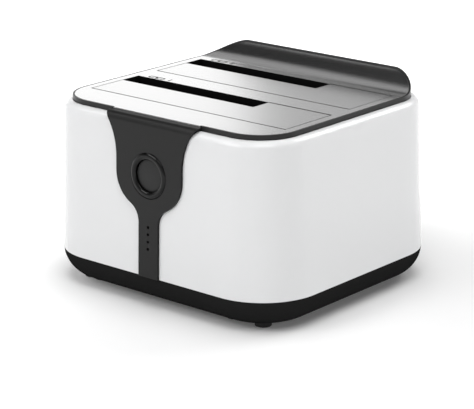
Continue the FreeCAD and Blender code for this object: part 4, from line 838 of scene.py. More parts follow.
def folded_strip(path: Sequence[Pair], thickness: float, width: float) -> Mesh:
    """Folds a strip of sheet along a path in the XZ plane.

    Args:
        path: The X and Z of one side of the strip.
        thickness: The sheet's thickness, to the right of the path.
        width: The strip's width along Y.

    Returns:
        The closed mesh.
    """
    points = [Vector((x, -width / 2, z)) for x, z in path]
    offsets = []
    for index, point in enumerate(points):
        ahead = points[min(index + 1, len(points) - 1)] - points[max(index - 1, 0)]
        offsets.append(point + Vector((ahead.z, 0.0, -ahead.x)).normalized() * thickness)
    return prism("strip", points + offsets[::-1], Vector((0.0, width, 0.0)))


def piece(name: str, mesh: Mesh, finish: Finish, *nodes: str, body: str = "housing") -> None:
    """Makes a piece of a mesh, stands it in for solids of the frame and reports it.

    Args:
        name: The piece's name.
        mesh: Its mesh, with its place in it.
        finish: What it is made of.
        *nodes: The solids that it replaces, if any.
        body: The body it rides on.
    """
    mesh.name = name
    mesh.materials.clear()
    mesh.materials.append(finish.material())
    made = placed(name, mesh)
    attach(made, body)
    if nodes:
        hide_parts(*nodes)
    log.info("%s: %d faces", name, len(mesh.polygons))


def standing_piece(name: str, plan: Sequence[Pair], bottom: float, height: float, finish: Finish) -> None:
    """Stands a flat plan up as a piece of the housing."""
    outline = [Vector((x, y, bottom)) for x, y in plan]
    piece(name, prism(name, outline, Vector((0.0, 0.0, height))), finish)


# ---------------------------------------------------------------- geometry trees
class ShapeTree(NodeGroup):
    """A geometry tree with named sizes that grows a shape on a carrier mesh."""

    kind = "GeometryNodeTree"
    outputs = {"Shape": GEOMETRY}

    def shape(self) -> Socket:
        """Builds the shape's own nodes.

        Returns:
            The shape.
        """
        raise NotImplementedError

    def build(self) -> dict[str, Socket]:
        """Makes the shape real and gives it its finish.

        Returns:
            The dressed shape by its output's name.
        """
        real = self.add("GeometryNodeRealizeInstances", {0: self.shape()}).outputs[0]
        dressed = self.add("GeometryNodeSetMaterial", {"Geometry": real, "Material": self.given["Finish"]})
        return {"Shape": dressed.outputs[0]}

    @classmethod
    def grow(
        cls, name: str, carrier: Mesh, finish: Finish, *nodes: str, body: str = "housing", **values: object
    ) -> None:
        """Runs the tree on a carrier and makes a piece of the result.

        Args:
            name: The piece's name.
            carrier: The mesh whose points or edges say where things go.
            finish: What the piece is made of.
            *nodes: The solids that it replaces, if any.
            body: The body it rides on.
            **values: The tree's other inputs.
        """
        settings = {**labelled(values), "Finish": finish.material()}
        helper = placed(cls.name, carrier)
        modifier = helper.modifiers.new(cls.name, "NODES")
        modifier.node_group = cls.group()
        for item in modifier.node_group.interface.items_tree:
            if item.in_out == "INPUT" and item.name in settings:
                modifier[item.identifier] = settings[item.name]
        piece(name, smoothed(applied(helper)), finish, *nodes, body=body)


class ThreadedScrewTree(ShapeTree):
    """Pan-head screws with a cross recess and a real thread, one at each point.

    The seat of the head is at z = 0 and the shank runs up. The cross is given in shares of the head.
    """

    name = "threaded_screw"
    inputs = {
        "Places": GEOMETRY, "Finish": MATERIAL, "Axis": VECTOR, "Shank radius": FLOAT, "Shank length": FLOAT,
        "Head radius": FLOAT, "Head height": FLOAT, "Thread pitch": FLOAT, "Thread depth": FLOAT,
    }
    cross_reach = 0.6
    cross_arm = 0.13
    cross_depth = 0.55
    shank_sides = 16
    tooth_sides = 4
    head_segments = 24
    head_rings = 12
    cutter_width = 3.0
    seed = 7

    def share(self, size: str, factor: float) -> Socket:
        """Returns a share of one of the screw's sizes."""
        return self.math("MULTIPLY", self.given[size], factor)

    def core(self) -> Socket:
        """Returns the core's radius, inside the thread."""
        return self.math("SUBTRACT", self.given["Shank radius"], self.given["Thread depth"])

    def shape(self) -> Socket:
        """Joins head, core and thread, and sets one screw on each point, each at its own turn.

        Returns:
            The screws.
        """
        parts = (self.shank(), self.thread(), self.head())
        screw = self.linked("GeometryNodeJoinGeometry", "Geometry", parts)
        facing = self.add("FunctionNodeAlignRotationToVector", {"Vector": self.given["Axis"]}, axis="Z")
        draw = {RANDOM_LEAST: 0.0, RANDOM_MOST: QUARTER, "Seed": self.seed}
        spin = self.add("FunctionNodeRandomValue", draw, data_type="FLOAT").outputs[RANDOM_RESULT]
        turns = {"Rotation": facing.outputs[0], "Rotate By": self.turn(spin)}
        rotation = self.add("FunctionNodeRotateRotation", turns, rotation_space="LOCAL").outputs[0]
        return self.repeated(screw, self.given["Places"], rotation)

    def shank(self) -> Socket:
        """Builds the core.

        Returns:
            The core.
        """
        length = self.given["Shank length"]
        inputs = {"Vertices": self.shank_sides, "Radius": self.core(), "Depth": length}
        rod = self.add("GeometryNodeMeshCylinder", inputs).outputs["Mesh"]
        return self.moved(rod, self.vector(z=self.share("Shank length", 0.5)))

    def thread(self) -> Socket:
        """Winds the thread's ridge round the core, a thread's depth short of either end.

        Returns:
            The ridge.
        """
        height = self.math("SUBTRACT", self.given["Shank length"], self.share("Thread depth", 2.0))
        turns = self.math("DIVIDE", height, self.given["Thread pitch"])
        core = self.core()
        helix = self.add("GeometryNodeCurveSpiral", {
            "Resolution": self.shank_sides, "Rotations": turns, "Start Radius": core, "End Radius": core,
            "Height": height,
        }).outputs[0]
        ridge = self.swept(helix, self.tooth_sides, self.given["Thread depth"])
        return self.moved(ridge, self.vector(z=self.given["Thread depth"]))

    def head(self) -> Socket:
        """Builds the domed head below the seat, with its cross cut in.

        Returns:
            The head.
        """
        radius, height = self.given["Head radius"], self.given["Head height"]
        inputs = {"Segments": self.head_segments, "Rings": self.head_rings, "Radius": 1.0}
        ball = self.add("GeometryNodeMeshUVSphere", inputs).outputs[0]
        dome = self.moved(ball, (0.0, 0.0, 0.0), self.vector(radius, radius, height))
        side = self.share("Head radius", self.cutter_width)
        above = self.block(self.vector(side, side, self.share("Head height", 2.0)), self.vector(z=height))
        reach = self.share("Head radius", 2 * self.cross_reach)
        arm = self.share("Head radius", 2 * self.cross_arm)
        deep = self.share("Head height", 2 * self.cross_depth)
        crown = self.vector(z=self.share("Head height", -1.0))
        across = self.block(self.vector(reach, arm, deep), crown)
        along = self.block(self.vector(arm, reach, deep), crown)
        return self.linked(
            "GeometryNodeMeshBoolean", "Mesh 2", (above, across, along),
            inputs={"Mesh 1": dome}, operation="DIFFERENCE", solver="EXACT",
        )


class BentWireTree(ShapeTree):
    """Round wire swept along the carrier's edges, as often as asked, side by side along X."""

    name = "bent_wire"
    inputs = {"Places": GEOMETRY, "Finish": MATERIAL, "Wire radius": FLOAT, "Count": COUNT, "Pitch": FLOAT}
    wire_sides = 10

    def shape(self) -> Socket:
        """Sweeps one wire and repeats it on a line of points.

        Returns:
            The wires.
        """
        path = self.add("GeometryNodeMeshToCurve", {"Mesh": self.given["Places"]}).outputs[0]
        wire = self.swept(path, self.wire_sides, self.given["Wire radius"])
        steps = {"Count": self.given["Count"], "Offset": self.vector(self.given["Pitch"])}
        return self.repeated(wire, self.add("GeometryNodeMeshLine", steps).outputs[0])

    @classmethod
    def sweep(
        cls, name: str, points: Sequence[Vector], finish: Finish, *nodes: str, **values: object
    ) -> None:
        """Sweeps wires along an open line.

        Args:
            name: The piece's name.
            points: The line.
            finish: What the wires are made of.
            *nodes: The solids that they replace, if any.
            **values: The tree's other inputs, and the body when it isn't the housing.
        """
        path = bpy.data.meshes.new("path")
        path.from_pydata(points, [(index, index + 1) for index in range(len(points) - 1)], [])
        cls.grow(name, path, finish, *nodes, **values)


class PlacedCopiesTree(ShapeTree):
    """Copies of one upright shape, one at each point, turned about Z."""

    name = "placed_copies"
    inputs = {"Places": GEOMETRY, "Finish": MATERIAL, "Pattern": OBJECT}

    def shape(self) -> Socket:
        """Sets the pattern on each point and turns it by the point's own angle.

        Returns:
            The copies.
        """
        pattern = self.add("GeometryNodeObjectInfo", {"Object": self.given["Pattern"]}).outputs["Geometry"]
        angle = self.add("GeometryNodeInputNamedAttribute", {"Name": "turn"}, data_type="FLOAT").outputs[0]
        return self.repeated(pattern, self.given["Places"], self.turn(angle))

    @classmethod
    def copies(cls, name: str, pattern: Mesh, places: Sequence[Place], finish: Finish, *nodes: str) -> None:
        """Makes one piece with a copy of the pattern at each place.

        Args:
            name: The piece's name.
            pattern: The mesh to repeat, standing on the origin.
            places: Where each copy stands, and its turn about Z.
            finish: What the copies are made of.
            *nodes: The solids that they replace, if any.
        """
        carrier = bpy.data.meshes.new("places")
        carrier.from_pydata([place for place, _ in places], [], [])
        turns = carrier.attributes.new("turn", "FLOAT", "POINT")
        for entry, (_, turn) in zip(turns.data, places):
            entry.value = turn
        model = bpy.data.objects.new("pattern", pattern)
        cls.grow(name, carrier, finish, *nodes, pattern=model)
        bpy.data.objects.remove(model)


# ---------------------------------------------------------------- solids of the frame, and print
@dataclass
class EasedPart:
    """A solid of the frame whose sharp edges get the small radius that the real tool leaves.

    The recess is how far its front is drawn back from the panel's face.
    """

    node: str
    finish: Finish
    edge: Edge = Edge.EASED
    body: str = "housing"
    recess: float = 0.0

    def build(self) -> None:
        """Eases the edges and replaces the plain solid."""
        shape = welded(self.node)
        bmesh.ops.dissolve_limit(shape, angle_limit=FLAT_WITHIN, verts=shape.verts, edges=shape.edges)
        front = min(vert.co.y for vert in shape.verts)
        for vert in shape.verts:
            if vert.co.y < front + self.recess:
                vert.co.y += self.recess
        seams = [seam for seam in shape.edges if len(seam.link_faces) == 2]
        bmesh.ops.bevel(
            shape, geom=[seam for seam in seams if seam.calc_face_angle() > EASED_FROM],
            offset=self.edge.value, offset_type="OFFSET", segments=EASING_STEPS,
            profile=EASING_PROFILE, affect="EDGES", clamp_overlap=True,
        )
        bmesh.ops.remove_doubles(shape, verts=shape.verts, dist=MERGE)
        name = self.node + "_eased"
        helper = placed(name, smoothed(as_mesh(name, shape), SHARP_BESIDE_EASED))
        helper.modifiers.new("normals", "WEIGHTED_NORMAL").keep_sharp = True
        piece(name, applied(helper), self.finish, self.node, body=self.body)


@dataclass
class KeptPart:
    """A solid of the frame that is kept as it is and only gets its finish."""

    node: str
    finish: Finish

    def build(self) -> None:
        """Puts the finish in the solid's material slots."""
        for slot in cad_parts[self.node].material_slots:
            slot.material = self.finish.material()
        log.info("%s: finish %s", self.node, self.finish.name)


@dataclass
class Print:
    """Generic numerals and signs, printed a hair thick on a surface."""

    finish: Finish
    thickness: float = 0.02 * MM
    corner_steps: int = 6
    boldness: float = 0.035

    def flat(self, curve: bpy.types.Curve, place: Matrix) -> Mesh:
        """Turns a filled curve into a mesh where it belongs.

        Args:
            curve: The curve, flat round its origin.
            place: Where the print lies.

        Returns:
            The mesh.
        """
        curve.extrude = self.thickness / 2
        mesh = applied(placed(curve.name, curve))
        mesh.transform(place @ Matrix.Translation((0.0, 0.0, self.thickness / 2)))
        return mesh

    def numeral(self, text: str, height: float, place: Matrix) -> Mesh:
        """Prints a numeral or a letter, centred.

        Args:
            text: What is printed.
            height: The size of the type.
            place: Where its middle lies.

        Returns:
            The mesh.
        """
        curve = bpy.data.curves.new("numeral", "FONT")
        curve.body = text
        curve.size = height
        curve.offset = height * self.boldness
        curve.align_x = "CENTER"
        curve.align_y = "CENTER"
        return self.flat(curve, place)

    def outline(self, half_x: float, half_y: float, radius: float) -> list[Pair]:
        """Draws a rounded rectangle round its middle.

        Args:
            half_x: Half its length.
            half_y: Half its width.
            radius: The radius of its corners.

        Returns:
            Its corner points in order.
        """
        points = []
        for quarter, (side_x, side_y) in enumerate(((1, 1), (-1, 1), (-1, -1), (1, -1))):
            for step in range(self.corner_steps + 1):
                angle = (quarter + step / self.corner_steps) * QUARTER
                x = side_x * (half_x - radius) + radius * math.cos(angle)
                y = side_y * (half_y - radius) + radius * math.sin(angle)
                points.append((x, y))
        return points

    def drive_sign(self, half_x: float, half_y: float, line: float, place: Matrix) -> Mesh:
        """Prints the outline of a drive: a rounded frame with its spindle.

        Args:
            half_x: Half the frame's length.
            half_y: Half its width.
            line: The line's width.
            place: Where its middle lies.

        Returns:
            The mesh.
        """
        curve = bpy.data.curves.new("drive_sign", "CURVE")
        curve.dimensions = "2D"
        curve.fill_mode = "BOTH"
        corner = half_y / 2
        outer = self.outline(half_x, half_y, corner)
        inner = self.outline(half_x - line, half_y - line, corner - line)
        for loop in (outer, inner, self.outline(corner, corner, corner)):
            spline = curve.splines.new("POLY")
            spline.points.add(len(loop) - 1)
            for point, (x, y) in zip(spline.points, loop):
                point.co = (x, y, 0.0, 1.0)
            spline.use_cyclic_u = True
        return self.flat(curve, place)

    def put(self, name: str, meshes: Sequence[Mesh], body: str = "housing") -> None:
        """Joins prints into one piece.

        Args:
            name: The piece's name.
            meshes: The prints.
            body: The body it rides on.
        """
        shape = bmesh.new()
        for mesh in meshes:
            shape.from_mesh(mesh)
        piece(name, as_mesh(name, shape), self.finish, body=body)


# ---------------------------------------------------------------- sub-assemblies
@dataclass
class HousingShell:
    """The white sleeve, the black tray that it stands on and the tray's rubber feet.

    The dish's edge, its lip and the ground's edge are shares of a foot's radius.
    """

    foot_dish: float = 0.2 * MM
    foot_rim: float = 0.12 * MM
    foot_shoulder: float = 0.36 * MM
    dish_edge: float = 0.55
    dish_lip: float = 0.62
    ground_edge: float = 0.88

    def feet(self) -> None:
        """Turns one foot with a shallow dish and sets it in each pocket."""
        feet = islands("rubber_feet")
        radius, height = feet[0].size.x / 2, feet[0].size.z
        foot = turned([
            (0.0, self.foot_dish), (radius * self.dish_edge, self.foot_dish), (radius * self.dish_lip, 0.0),
            (radius * self.ground_edge, 0.0), (radius - self.foot_rim, self.foot_rim),
            (radius, self.foot_shoulder), (radius, height), (0.0, height),
        ])
        places = [(Vector((item.centre.x, item.centre.y, 0.0)), 0.0) for item in feet]
        PlacedCopiesTree.copies("turned_feet", foot, places, RUBBER, "rubber_feet")

    def build(self) -> None:
        """Builds the shell."""
        EasedPart("outer_sleeve", WHITE_GLOSS).build()
        EasedPart("base_tray", TRAY_PLASTIC).build()
        self.feet()


@dataclass
class Deck:
    """The dark deck, the silver sheet let into it, and the print beside each slot."""

    sign_half: Pair = (4.2 * MM, 1.25 * MM)
    sign_line: float = 0.55 * MM
    sign_from_slot: float = 4.6 * MM
    sign_behind: float = 2.0 * MM
    numeral_height: float = 3.7 * MM
    numeral_gap: float = 11.6 * MM
    # Sizes of the painted shade line round each flap's opening.
    gap_shade_along: float = 0.35 * MM
    gap_shade_across: float = 0.1 * MM
    gap_shade_height: float = 0.02 * MM

    def sign(self, bay: Bay, numeral: str) -> None:
        """Prints a drive's outline and the bay's numeral behind a slot.

        Args:
            bay: The bay.
            numeral: Its number.
        """
        left = bay.left_wall() + self.sign_from_slot
        y = bay.rear_wall() + self.sign_behind
        ink = Print(LABEL_INK)
        frame_place = Matrix.Translation((left + self.sign_half[0], y, bay.top()))
        numeral_place = Matrix.Translation((left + self.numeral_gap, y, bay.top()))
        ink.put(bay.part("bay_print"), [
            ink.drive_sign(*self.sign_half, self.sign_line, frame_place),
            ink.numeral(numeral, self.numeral_height, numeral_place),
        ])

    def seam(self, bay: Bay) -> None:
        """Edges the sheet's opening round a flap with a dark line: painted shade that stands in for the
        shadow in the gap between flap and sheet.

        Args:
            bay: The bay.
        """
        left, rear = bay.left_wall(), bay.rear_wall()
        right, front = -left, rear - BAY_WIDTH
        slot_right, slot_front = left + SLOT_LENGTH, rear - SLOT_WIDTH
        along, across = self.gap_shade_along, self.gap_shade_across
        plan = [
            (left, slot_front), (left, front), (right, front), (right, rear), (slot_right, rear),
            (slot_right, rear + along), (right + across, rear + along), (right + across, front - along),
            (left - across, front - along), (left - across, slot_front),
        ]
        standing_piece(bay.part("flap_seam"), plan, bay.top(), self.gap_shade_height, GAP_SHADE_INK)

    def build(self) -> None:
        """Builds the deck."""
        EasedPart("top_deck", DECK_PLASTIC).build()
        EasedPart("deck_plate", PLATE_SHEET, Edge.FOLDED).build()
        for bay, numeral in zip(Bay, "12"):
            self.sign(bay, numeral)
            self.seam(bay)


@dataclass
class FlapMechanism:
    """One bay's sprung flap: the folded flap, its pin and the torsion spring that closes it."""

    bay: Bay
    wire_radius: float = 0.3 * MM
    coil_radius: float = 1.25 * MM
    coil_pitch: float = 0.8 * MM
    coil_turns: float = 4.25
    spare_turn: float = 0.25
    leg: float = 7.0 * MM
    steps_a_turn: int = 24

    def wire(self, name: str, points: Sequence[Vector], body: str, *nodes: str) -> None:
        """Sweeps the spring's wire along a path as a piece of its own."""
        sizes = {"wire_radius": self.wire_radius, "count": 1, "pitch": 0.0}
        BentWireTree.sweep(name, points, SPRING_STEEL, *nodes, body=body, **sizes)

    def spring(self) -> None:
        """Winds the spring on the pin.

        One leg stands down the pocket's wall. The other lies under the flap and swings with it, and the coil
        carries on for the part of a turn that the swinging leg uncovers.
        """
        node = self.bay.part("flap_spring")
        pin_low, pin_high = (Vector(corner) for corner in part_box(self.bay.part("flap_pin")))
        centre = (pin_low + pin_high) / 2
        centre.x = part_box(node)[0][0] + self.wire_radius
        points = []
        first = -round(self.spare_turn * self.steps_a_turn)
        for step in range(first, round(self.coil_turns * self.steps_a_turn) + 1):
            turn = step / self.steps_a_turn
            angle = math.tau * turn
            around = Vector((0.0, -math.sin(angle), math.cos(angle))) * self.coil_radius
            points.append(centre + around + Vector((self.coil_pitch * max(turn, 0.0), 0.0, 0.0)))
        points.append(points[-1] + Vector((0.0, 0.0, -self.leg)))
        self.wire(node + "_wound", points, "housing", node)
        root = centre + Vector((0.0, 0.0, self.coil_radius))
        self.wire(node + "_leg", [root, root + Vector((0.0, self.leg, 0.0))], self.bay.part("flap"))

    def build(self) -> None:
        """Builds the mechanism."""
        flap = self.bay.part("flap")
        EasedPart(flap, FLAP_PAINT, Edge.FOLDED, flap).build()
        EasedPart(flap + "_pin", STEEL, Edge.CRISP).build()
        self.spring()


@dataclass
class DriveWell:
    """One bay's well: its walls, the collar of the open slot, the connector and the contacts.

    A blade's tip, its bow and its waist are shares of the plain contact.
    """

    bay: Bay
    collar_thickness: float = 0.12 * MM
    collar_clearance: float = 0.03 * MM
    blade_thickness: float = 0.18 * MM
    blade_tip: float = 0.9
    blade_bow: float = 0.72
    blade_waist: float = 0.45

    def collar(self) -> None:
        """Lines the open slot's back and left walls up to the plate's face."""
        clear, thick = self.collar_clearance, self.collar_thickness
        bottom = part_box(self.bay.part("bay_guide"))[1][2]
        left = self.bay.left_wall() + clear
        right = left + SLOT_LENGTH - 2 * clear
        rear = self.bay.rear_wall() - clear
        front = rear - SLOT_WIDTH + 2 * clear
        plan = [
            (left, rear), (left, front), (left + thick, front),
            (left + thick, rear - thick), (right, rear - thick), (right, rear),
        ]
        height = self.bay.top() - clear - bottom
        standing_piece(self.bay.part("slot_collar"), plan, bottom, height, WELL_PLASTIC)

    def contacts(self) -> None:
        """Sets a sprung blade in place of each plain contact."""
        node = self.bay.part("drive_contacts")
        found = islands(node)
        size, thick = found[0].size, self.blade_thickness
        side = [
            (thick, size.z), (self.blade_tip * size.y, self.blade_tip * size.z),
            (size.y + thick, self.blade_bow * size.z), (thick, self.blade_waist * size.z), (thick, 0.0),
        ]
        blade = folded_strip(side, -thick, size.x)
        places = [(Vector((item.centre.x, item.low.y, item.low.z)), QUARTER) for item in found]
        PlacedCopiesTree.copies(self.bay.part("contact_blades"), blade, places, GOLD, node)

    def build(self) -> None:
        """Builds the well."""
        KeptPart(self.bay.part("bay_guide"), WELL_PLASTIC).build()
        EasedPart(self.bay.part("drive_connector"), SOCKET_PLASTIC, Edge.CRISP).build()
        self.collar()
        self.contacts()


@dataclass
class FrontPanel:
    """The tie-shaped panel with the light pipe and the four lamps behind it."""

    pipe_recess: float = 1.0 * MM

    def build(self) -> None:
        """Builds the panel."""
        EasedPart("front_fascia", FASCIA_PLASTIC).build()
        EasedPart("light_pipe", CLEAR, Edge.FOLDED, recess=self.pipe_recess).build()
        EasedPart("status_lamps", LAMP_PLASTIC, Edge.CRISP).build()
        KeptPart("front_board", BOARD).build()


@dataclass
class CopyButton:
    """The round button: its gloss ring, the cap, the plunger and the switch behind."""

    cap_recess: float = 0.8 * MM

    def build(self) -> None:
        """Builds the button."""
        EasedPart("button_bezel", RING_GLOSS, Edge.CRISP).build()
        EasedPart("button_cap", CAP_PLASTIC, body="copy_button", recess=self.cap_recess).build()
        EasedPart("switch_plunger", SWITCH_PLASTIC, Edge.CRISP, "copy_button").build()
        EasedPart("tact_switch", SWITCH_PLASTIC, Edge.CRISP).build()


@dataclass
class BoardStack:
    """The main board with its chips, capacitors, coil and the ribbon from the front board.

    A leg's knee and ankle are shares of its reach. A can's crimp and crown are steps of its groove, out
    from its wall and up, from the board for the crimp and from the top for the crown.
    """

    leg_pitch: float = 1.0 * MM
    leg_width: float = 0.36 * MM
    leg_thickness: float = 0.14 * MM
    leg_reach: float = 0.8 * MM
    leg_knee: float = 0.4
    leg_ankle: float = 0.6
    square_chip: float = 10.0 * MM
    groove: float = 0.25 * MM
    crimp: tuple[Pair, ...] = ((-1, 0), (0, 1), (0, 4), (-1, 5), (-1, 6), (0, 7))
    crown: tuple[Pair, ...] = ((0, -1), (-1, 0), (-2, 0), (-2.5, -0.5))
    ribbon_bend: float = 1.8 * MM
    ribbon_wires: int = 16
    bend_steps: int = 8

    def chip_sides(self, chip: Island) -> list[Place]:
        """Lists where a chip's legs stand and the way each one points.

        Args:
            chip: The chip.

        Returns:
            A place and a turn for each leg.
        """
        sides = [(0, 1, QUARTER), (0, -1, -QUARTER)]
        if min(chip.size.x, chip.size.y) > self.square_chip:
            sides += [(1, 1, 0.0), (1, -1, math.pi)]
        places = []
        for along, side, turn in sides:
            across = 1 - along
            count = int(chip.size[along] / self.leg_pitch) - 1
            for index in range(count):
                place = chip.centre.copy()
                place[along] += (index - (count - 1) / 2) * self.leg_pitch
                place[across] += side * chip.size[across] / 2
                place.z = chip.low.z
                places.append((place, turn))
        return places

    def legs(self) -> None:
        """Folds one leg and sets a row of them along the chips' sides."""
        chips = islands("board_chips")
        half, thick, reach = chips[0].size.z / 2, self.leg_thickness, self.leg_reach
        knee, ankle = self.leg_knee * reach, self.leg_ankle * reach
        side = [(-thick, half), (knee, half), (ankle, thick), (reach, thick)]
        leg = folded_strip(side, thick, self.leg_width)
        places = [place for chip in chips for place in self.chip_sides(chip)]
        PlacedCopiesTree.copies("chip_legs", leg, places, LEG_METAL)

    def capacitors(self) -> None:
        """Turns one can with its crimped groove and stands one at each place."""
        cans = islands("board_capacitors")
        radius, height, groove = cans[0].size.x / 2, cans[0].size.z, self.groove
        wall = [(radius + out * groove, up * groove) for out, up in self.crimp]
        top = [(radius + out * groove, height + up * groove) for out, up in self.crown]
        can = turned([(0.0, 0.0), *wall, *top, (0.0, top[-1][1])])
        places = [(Vector((item.centre.x, item.centre.y, item.low.z)), 0.0) for item in cans]
        PlacedCopiesTree.copies("capacitor_cans", can, places, CAN_METAL, "board_capacitors")

    def ribbon(self) -> None:
        """Lays the ribbon's wires side by side, down the front board and round to the main board."""
        low, high = (Vector(corner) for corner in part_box("ribbon_cable"))
        pitch = islands("ribbon_cable")[0].size.x / self.ribbon_wires
        radius, bend = pitch / 2, self.ribbon_bend
        x, drop_y, run_z = low.x + radius, low.y + radius, low.z + radius
        points = [Vector((x, drop_y, high.z))]
        for step in range(self.bend_steps + 1):
            angle = QUARTER * step / self.bend_steps
            y = drop_y + bend - bend * math.cos(angle)
            z = run_z + bend - bend * math.sin(angle)
            points.append(Vector((x, y, z)))
        points.append(Vector((x, high.y, run_z)))
        sizes = {"wire_radius": radius, "count": self.ribbon_wires, "pitch": pitch}
        BentWireTree.sweep("ribbon_wires", points, VINYL, "ribbon_cable", **sizes)

    def build(self) -> None:
        """Builds the boards."""
        KeptPart("main_board", BOARD).build()
        EasedPart("board_chips", CHIP_PLASTIC, Edge.CRISP).build()
        EasedPart("power_coil", CHIP_PLASTIC).build()
        EasedPart("ribbon_headers", SOCKET_PLASTIC, Edge.CRISP).build()
        self.legs()
        self.capacitors()
        self.ribbon()


@dataclass
class RearPorts:
    """The rear panel with the data port, the power socket and the rocker switch."""

    marks: str = "OI"
    mark_size: float = 2.6 * MM
    face_lean: float = math.radians(30)
    normal_digits: int = 2

    def rocker_faces(self) -> list[tuple[Vector, Vector]]:
        """Finds the rocker's largest flat facets that look to the back, one for each mark.

        Returns:
            The centre and normal of each, from the lower up.
        """
        groups: dict[Triple, list[bpy.types.MeshPolygon]] = {}
        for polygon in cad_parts["power_rocker"].data.polygons:
            if polygon.normal.y > math.cos(self.face_lean):
                rounded = tuple(round(value, self.normal_digits) for value in polygon.normal)
                groups.setdefault(rounded, []).append(polygon)
        found = []
        for polygons in groups.values():
            area = sum(polygon.area for polygon in polygons)
            centre = sum((polygon.center * polygon.area for polygon in polygons), Vector()) / area
            found.append((area, centre, polygons[0].normal.copy()))
        largest = sorted(found, key=lambda item: -item[0])[:len(self.marks)]
        return sorted(((centre, normal) for _, centre, normal in largest), key=lambda item: item[0].z)

    def rocker_marks(self) -> None:
        """Prints the line and the ring on the rocker's two faces."""
        ink = Print(ROCKER_INK)
        side = Vector((-1.0, 0.0, 0.0))
        meshes = []
        for mark, (centre, normal) in zip(self.marks, self.rocker_faces()):
            turn = Matrix((side, normal.cross(side), normal)).transposed().to_4x4()
            meshes.append(ink.numeral(mark, self.mark_size, Matrix.Translation(centre) @ turn))
        ink.put("rocker_marks", meshes, "power_rocker")

    def build(self) -> None:
        """Builds the ports."""
        EasedPart("rear_panel", PANEL_PLASTIC).build()
        EasedPart("data_port_shell", PORT_METAL, Edge.FOLDED).build()
        EasedPart("data_port_insert", PORT_PLASTIC, Edge.CRISP).build()
        EasedPart("dc_jack", SOCKET_PLASTIC, Edge.CRISP).build()
        EasedPart("dc_jack_pin", STEEL, Edge.CRISP).build()
        EasedPart("power_switch_housing", FRAME_PLASTIC).build()
        EasedPart("power_rocker", ROCKER_PLASTIC, body="power_rocker").build()
        EasedPart("rocker_pin", STEEL, Edge.CRISP).build()
        self.rocker_marks()


@dataclass
class Fasteners:
    """The four groups of screws, all cut by one tree.

    The thread's pitch and depth are shares of the shank's radius.
    """

    seat_head: float = 1.8 * MM
    small_head: float = 1.2 * MM
    shank: float = 1.25 * MM
    small_shank: float = 0.85 * MM
    thread_pitch: float = 0.8
    thread_depth: float = 0.2

    def group(self, node: str, axis: Vector, head: float, shank: float) -> None:
        """Cuts one group of screws where the frame has them.

        Args:
            node: The group's node.
            axis: The way from head to tip.
            head: The height of a head.
            shank: The outer radius of the thread.
        """
        found = islands(node)
        along = max(range(3), key=lambda index: abs(axis[index]))
        across = (along + 1) % 3
        seats = []
        for screw in found:
            start = screw.low if axis[along] > 0 else screw.high
            seat = screw.centre.copy()
            seat[along] = start[along] + axis[along] * head
            seats.append(seat)
        carrier = bpy.data.meshes.new("seats")
        carrier.from_pydata(seats, [], [])
        size = found[0].size
        ThreadedScrewTree.grow(
            node + "_threaded", carrier, SCREW_STEEL, node, axis=axis, shank_radius=shank,
            shank_length=size[along] - head, head_radius=size[across] / 2, head_height=head,
            thread_pitch=self.thread_pitch * shank, thread_depth=self.thread_depth * shank,
        )

    def build(self) -> None:
        """Builds the screws."""
        up, down, forward = Vector((0, 0, 1)), Vector((0, 0, -1)), Vector((0, -1, 0))
        self.group("base_screws", up, self.seat_head, self.shank)
        self.group("guide_screws", up, self.small_head, self.small_shank)
        self.group("board_screws", down, self.small_head, self.small_shank)
        self.group("front_board_screws", forward, self.small_head, self.small_shank)


# ---------------------------------------------------------------- camera, floor and light
@dataclass(frozen=True)
class Softbox:
    """A rectangular lamp that faces a point. One that is flagged doesn't reach the bare metal."""

    name: str
    place: Triple
    aim: Triple
    size: Pair
    power: float
    flagged: bool = False

    def hang(self) -> bpy.types.Object:
        """Hangs the lamp.

        Returns:
            The lamp.
        """
        data = bpy.data.lights.new(self.name, "AREA")
        data.shape = "RECTANGLE"
        data.size, data.size_y = self.size
        data.energy = self.power
        lamp = placed(self.name, data)
        lamp.location = self.place
        lamp.rotation_mode = "QUATERNION"
        lamp.rotation_quaternion = (Vector(self.aim) - Vector(self.place)).to_track_quat("-Z", "Y")
        return lamp


MIDDLE = (0.0, 0.0, 0.04)
LIP = (0.0, 0.045, 0.08)
OFF_LEFT = (-0.6, 0.0, 0.1)
SOFTBOXES = (
    Softbox("key_softbox", (0.5, -0.46, 1.15), MIDDLE, (0.7, 0.7), 5.55, flagged=True),
    Softbox("front_softbox", (-0.6, -1.14, 1.0), MIDDLE, (0.8, 0.6), 7.0, flagged=True),
    Softbox("back_softbox", (0.35, 1.1, 1.05), MIDDLE, (0.7, 0.7), 7.0, flagged=True),
    Softbox("right_panel", (1.5, 0.15, 0.45), MIDDLE, (1.6, 0.8), 1.32),
    Softbox("left_panel", (-1.635, 1.01, 0.45), OFF_LEFT, (1.2, 0.8), 2.3),
    Softbox("edge_card", (-0.91, -0.47, 1.16), MIDDLE, (0.4, 0.4), 1.6, flagged=True),
    Softbox("lip_foot_card", (-0.93, 0.80, 0.97), LIP, (0.5, 0.5), 0.28),
    Softbox("lip_top_card", (-0.91, -0.47, 1.16), LIP, (0.4, 0.4), 0.2),
)


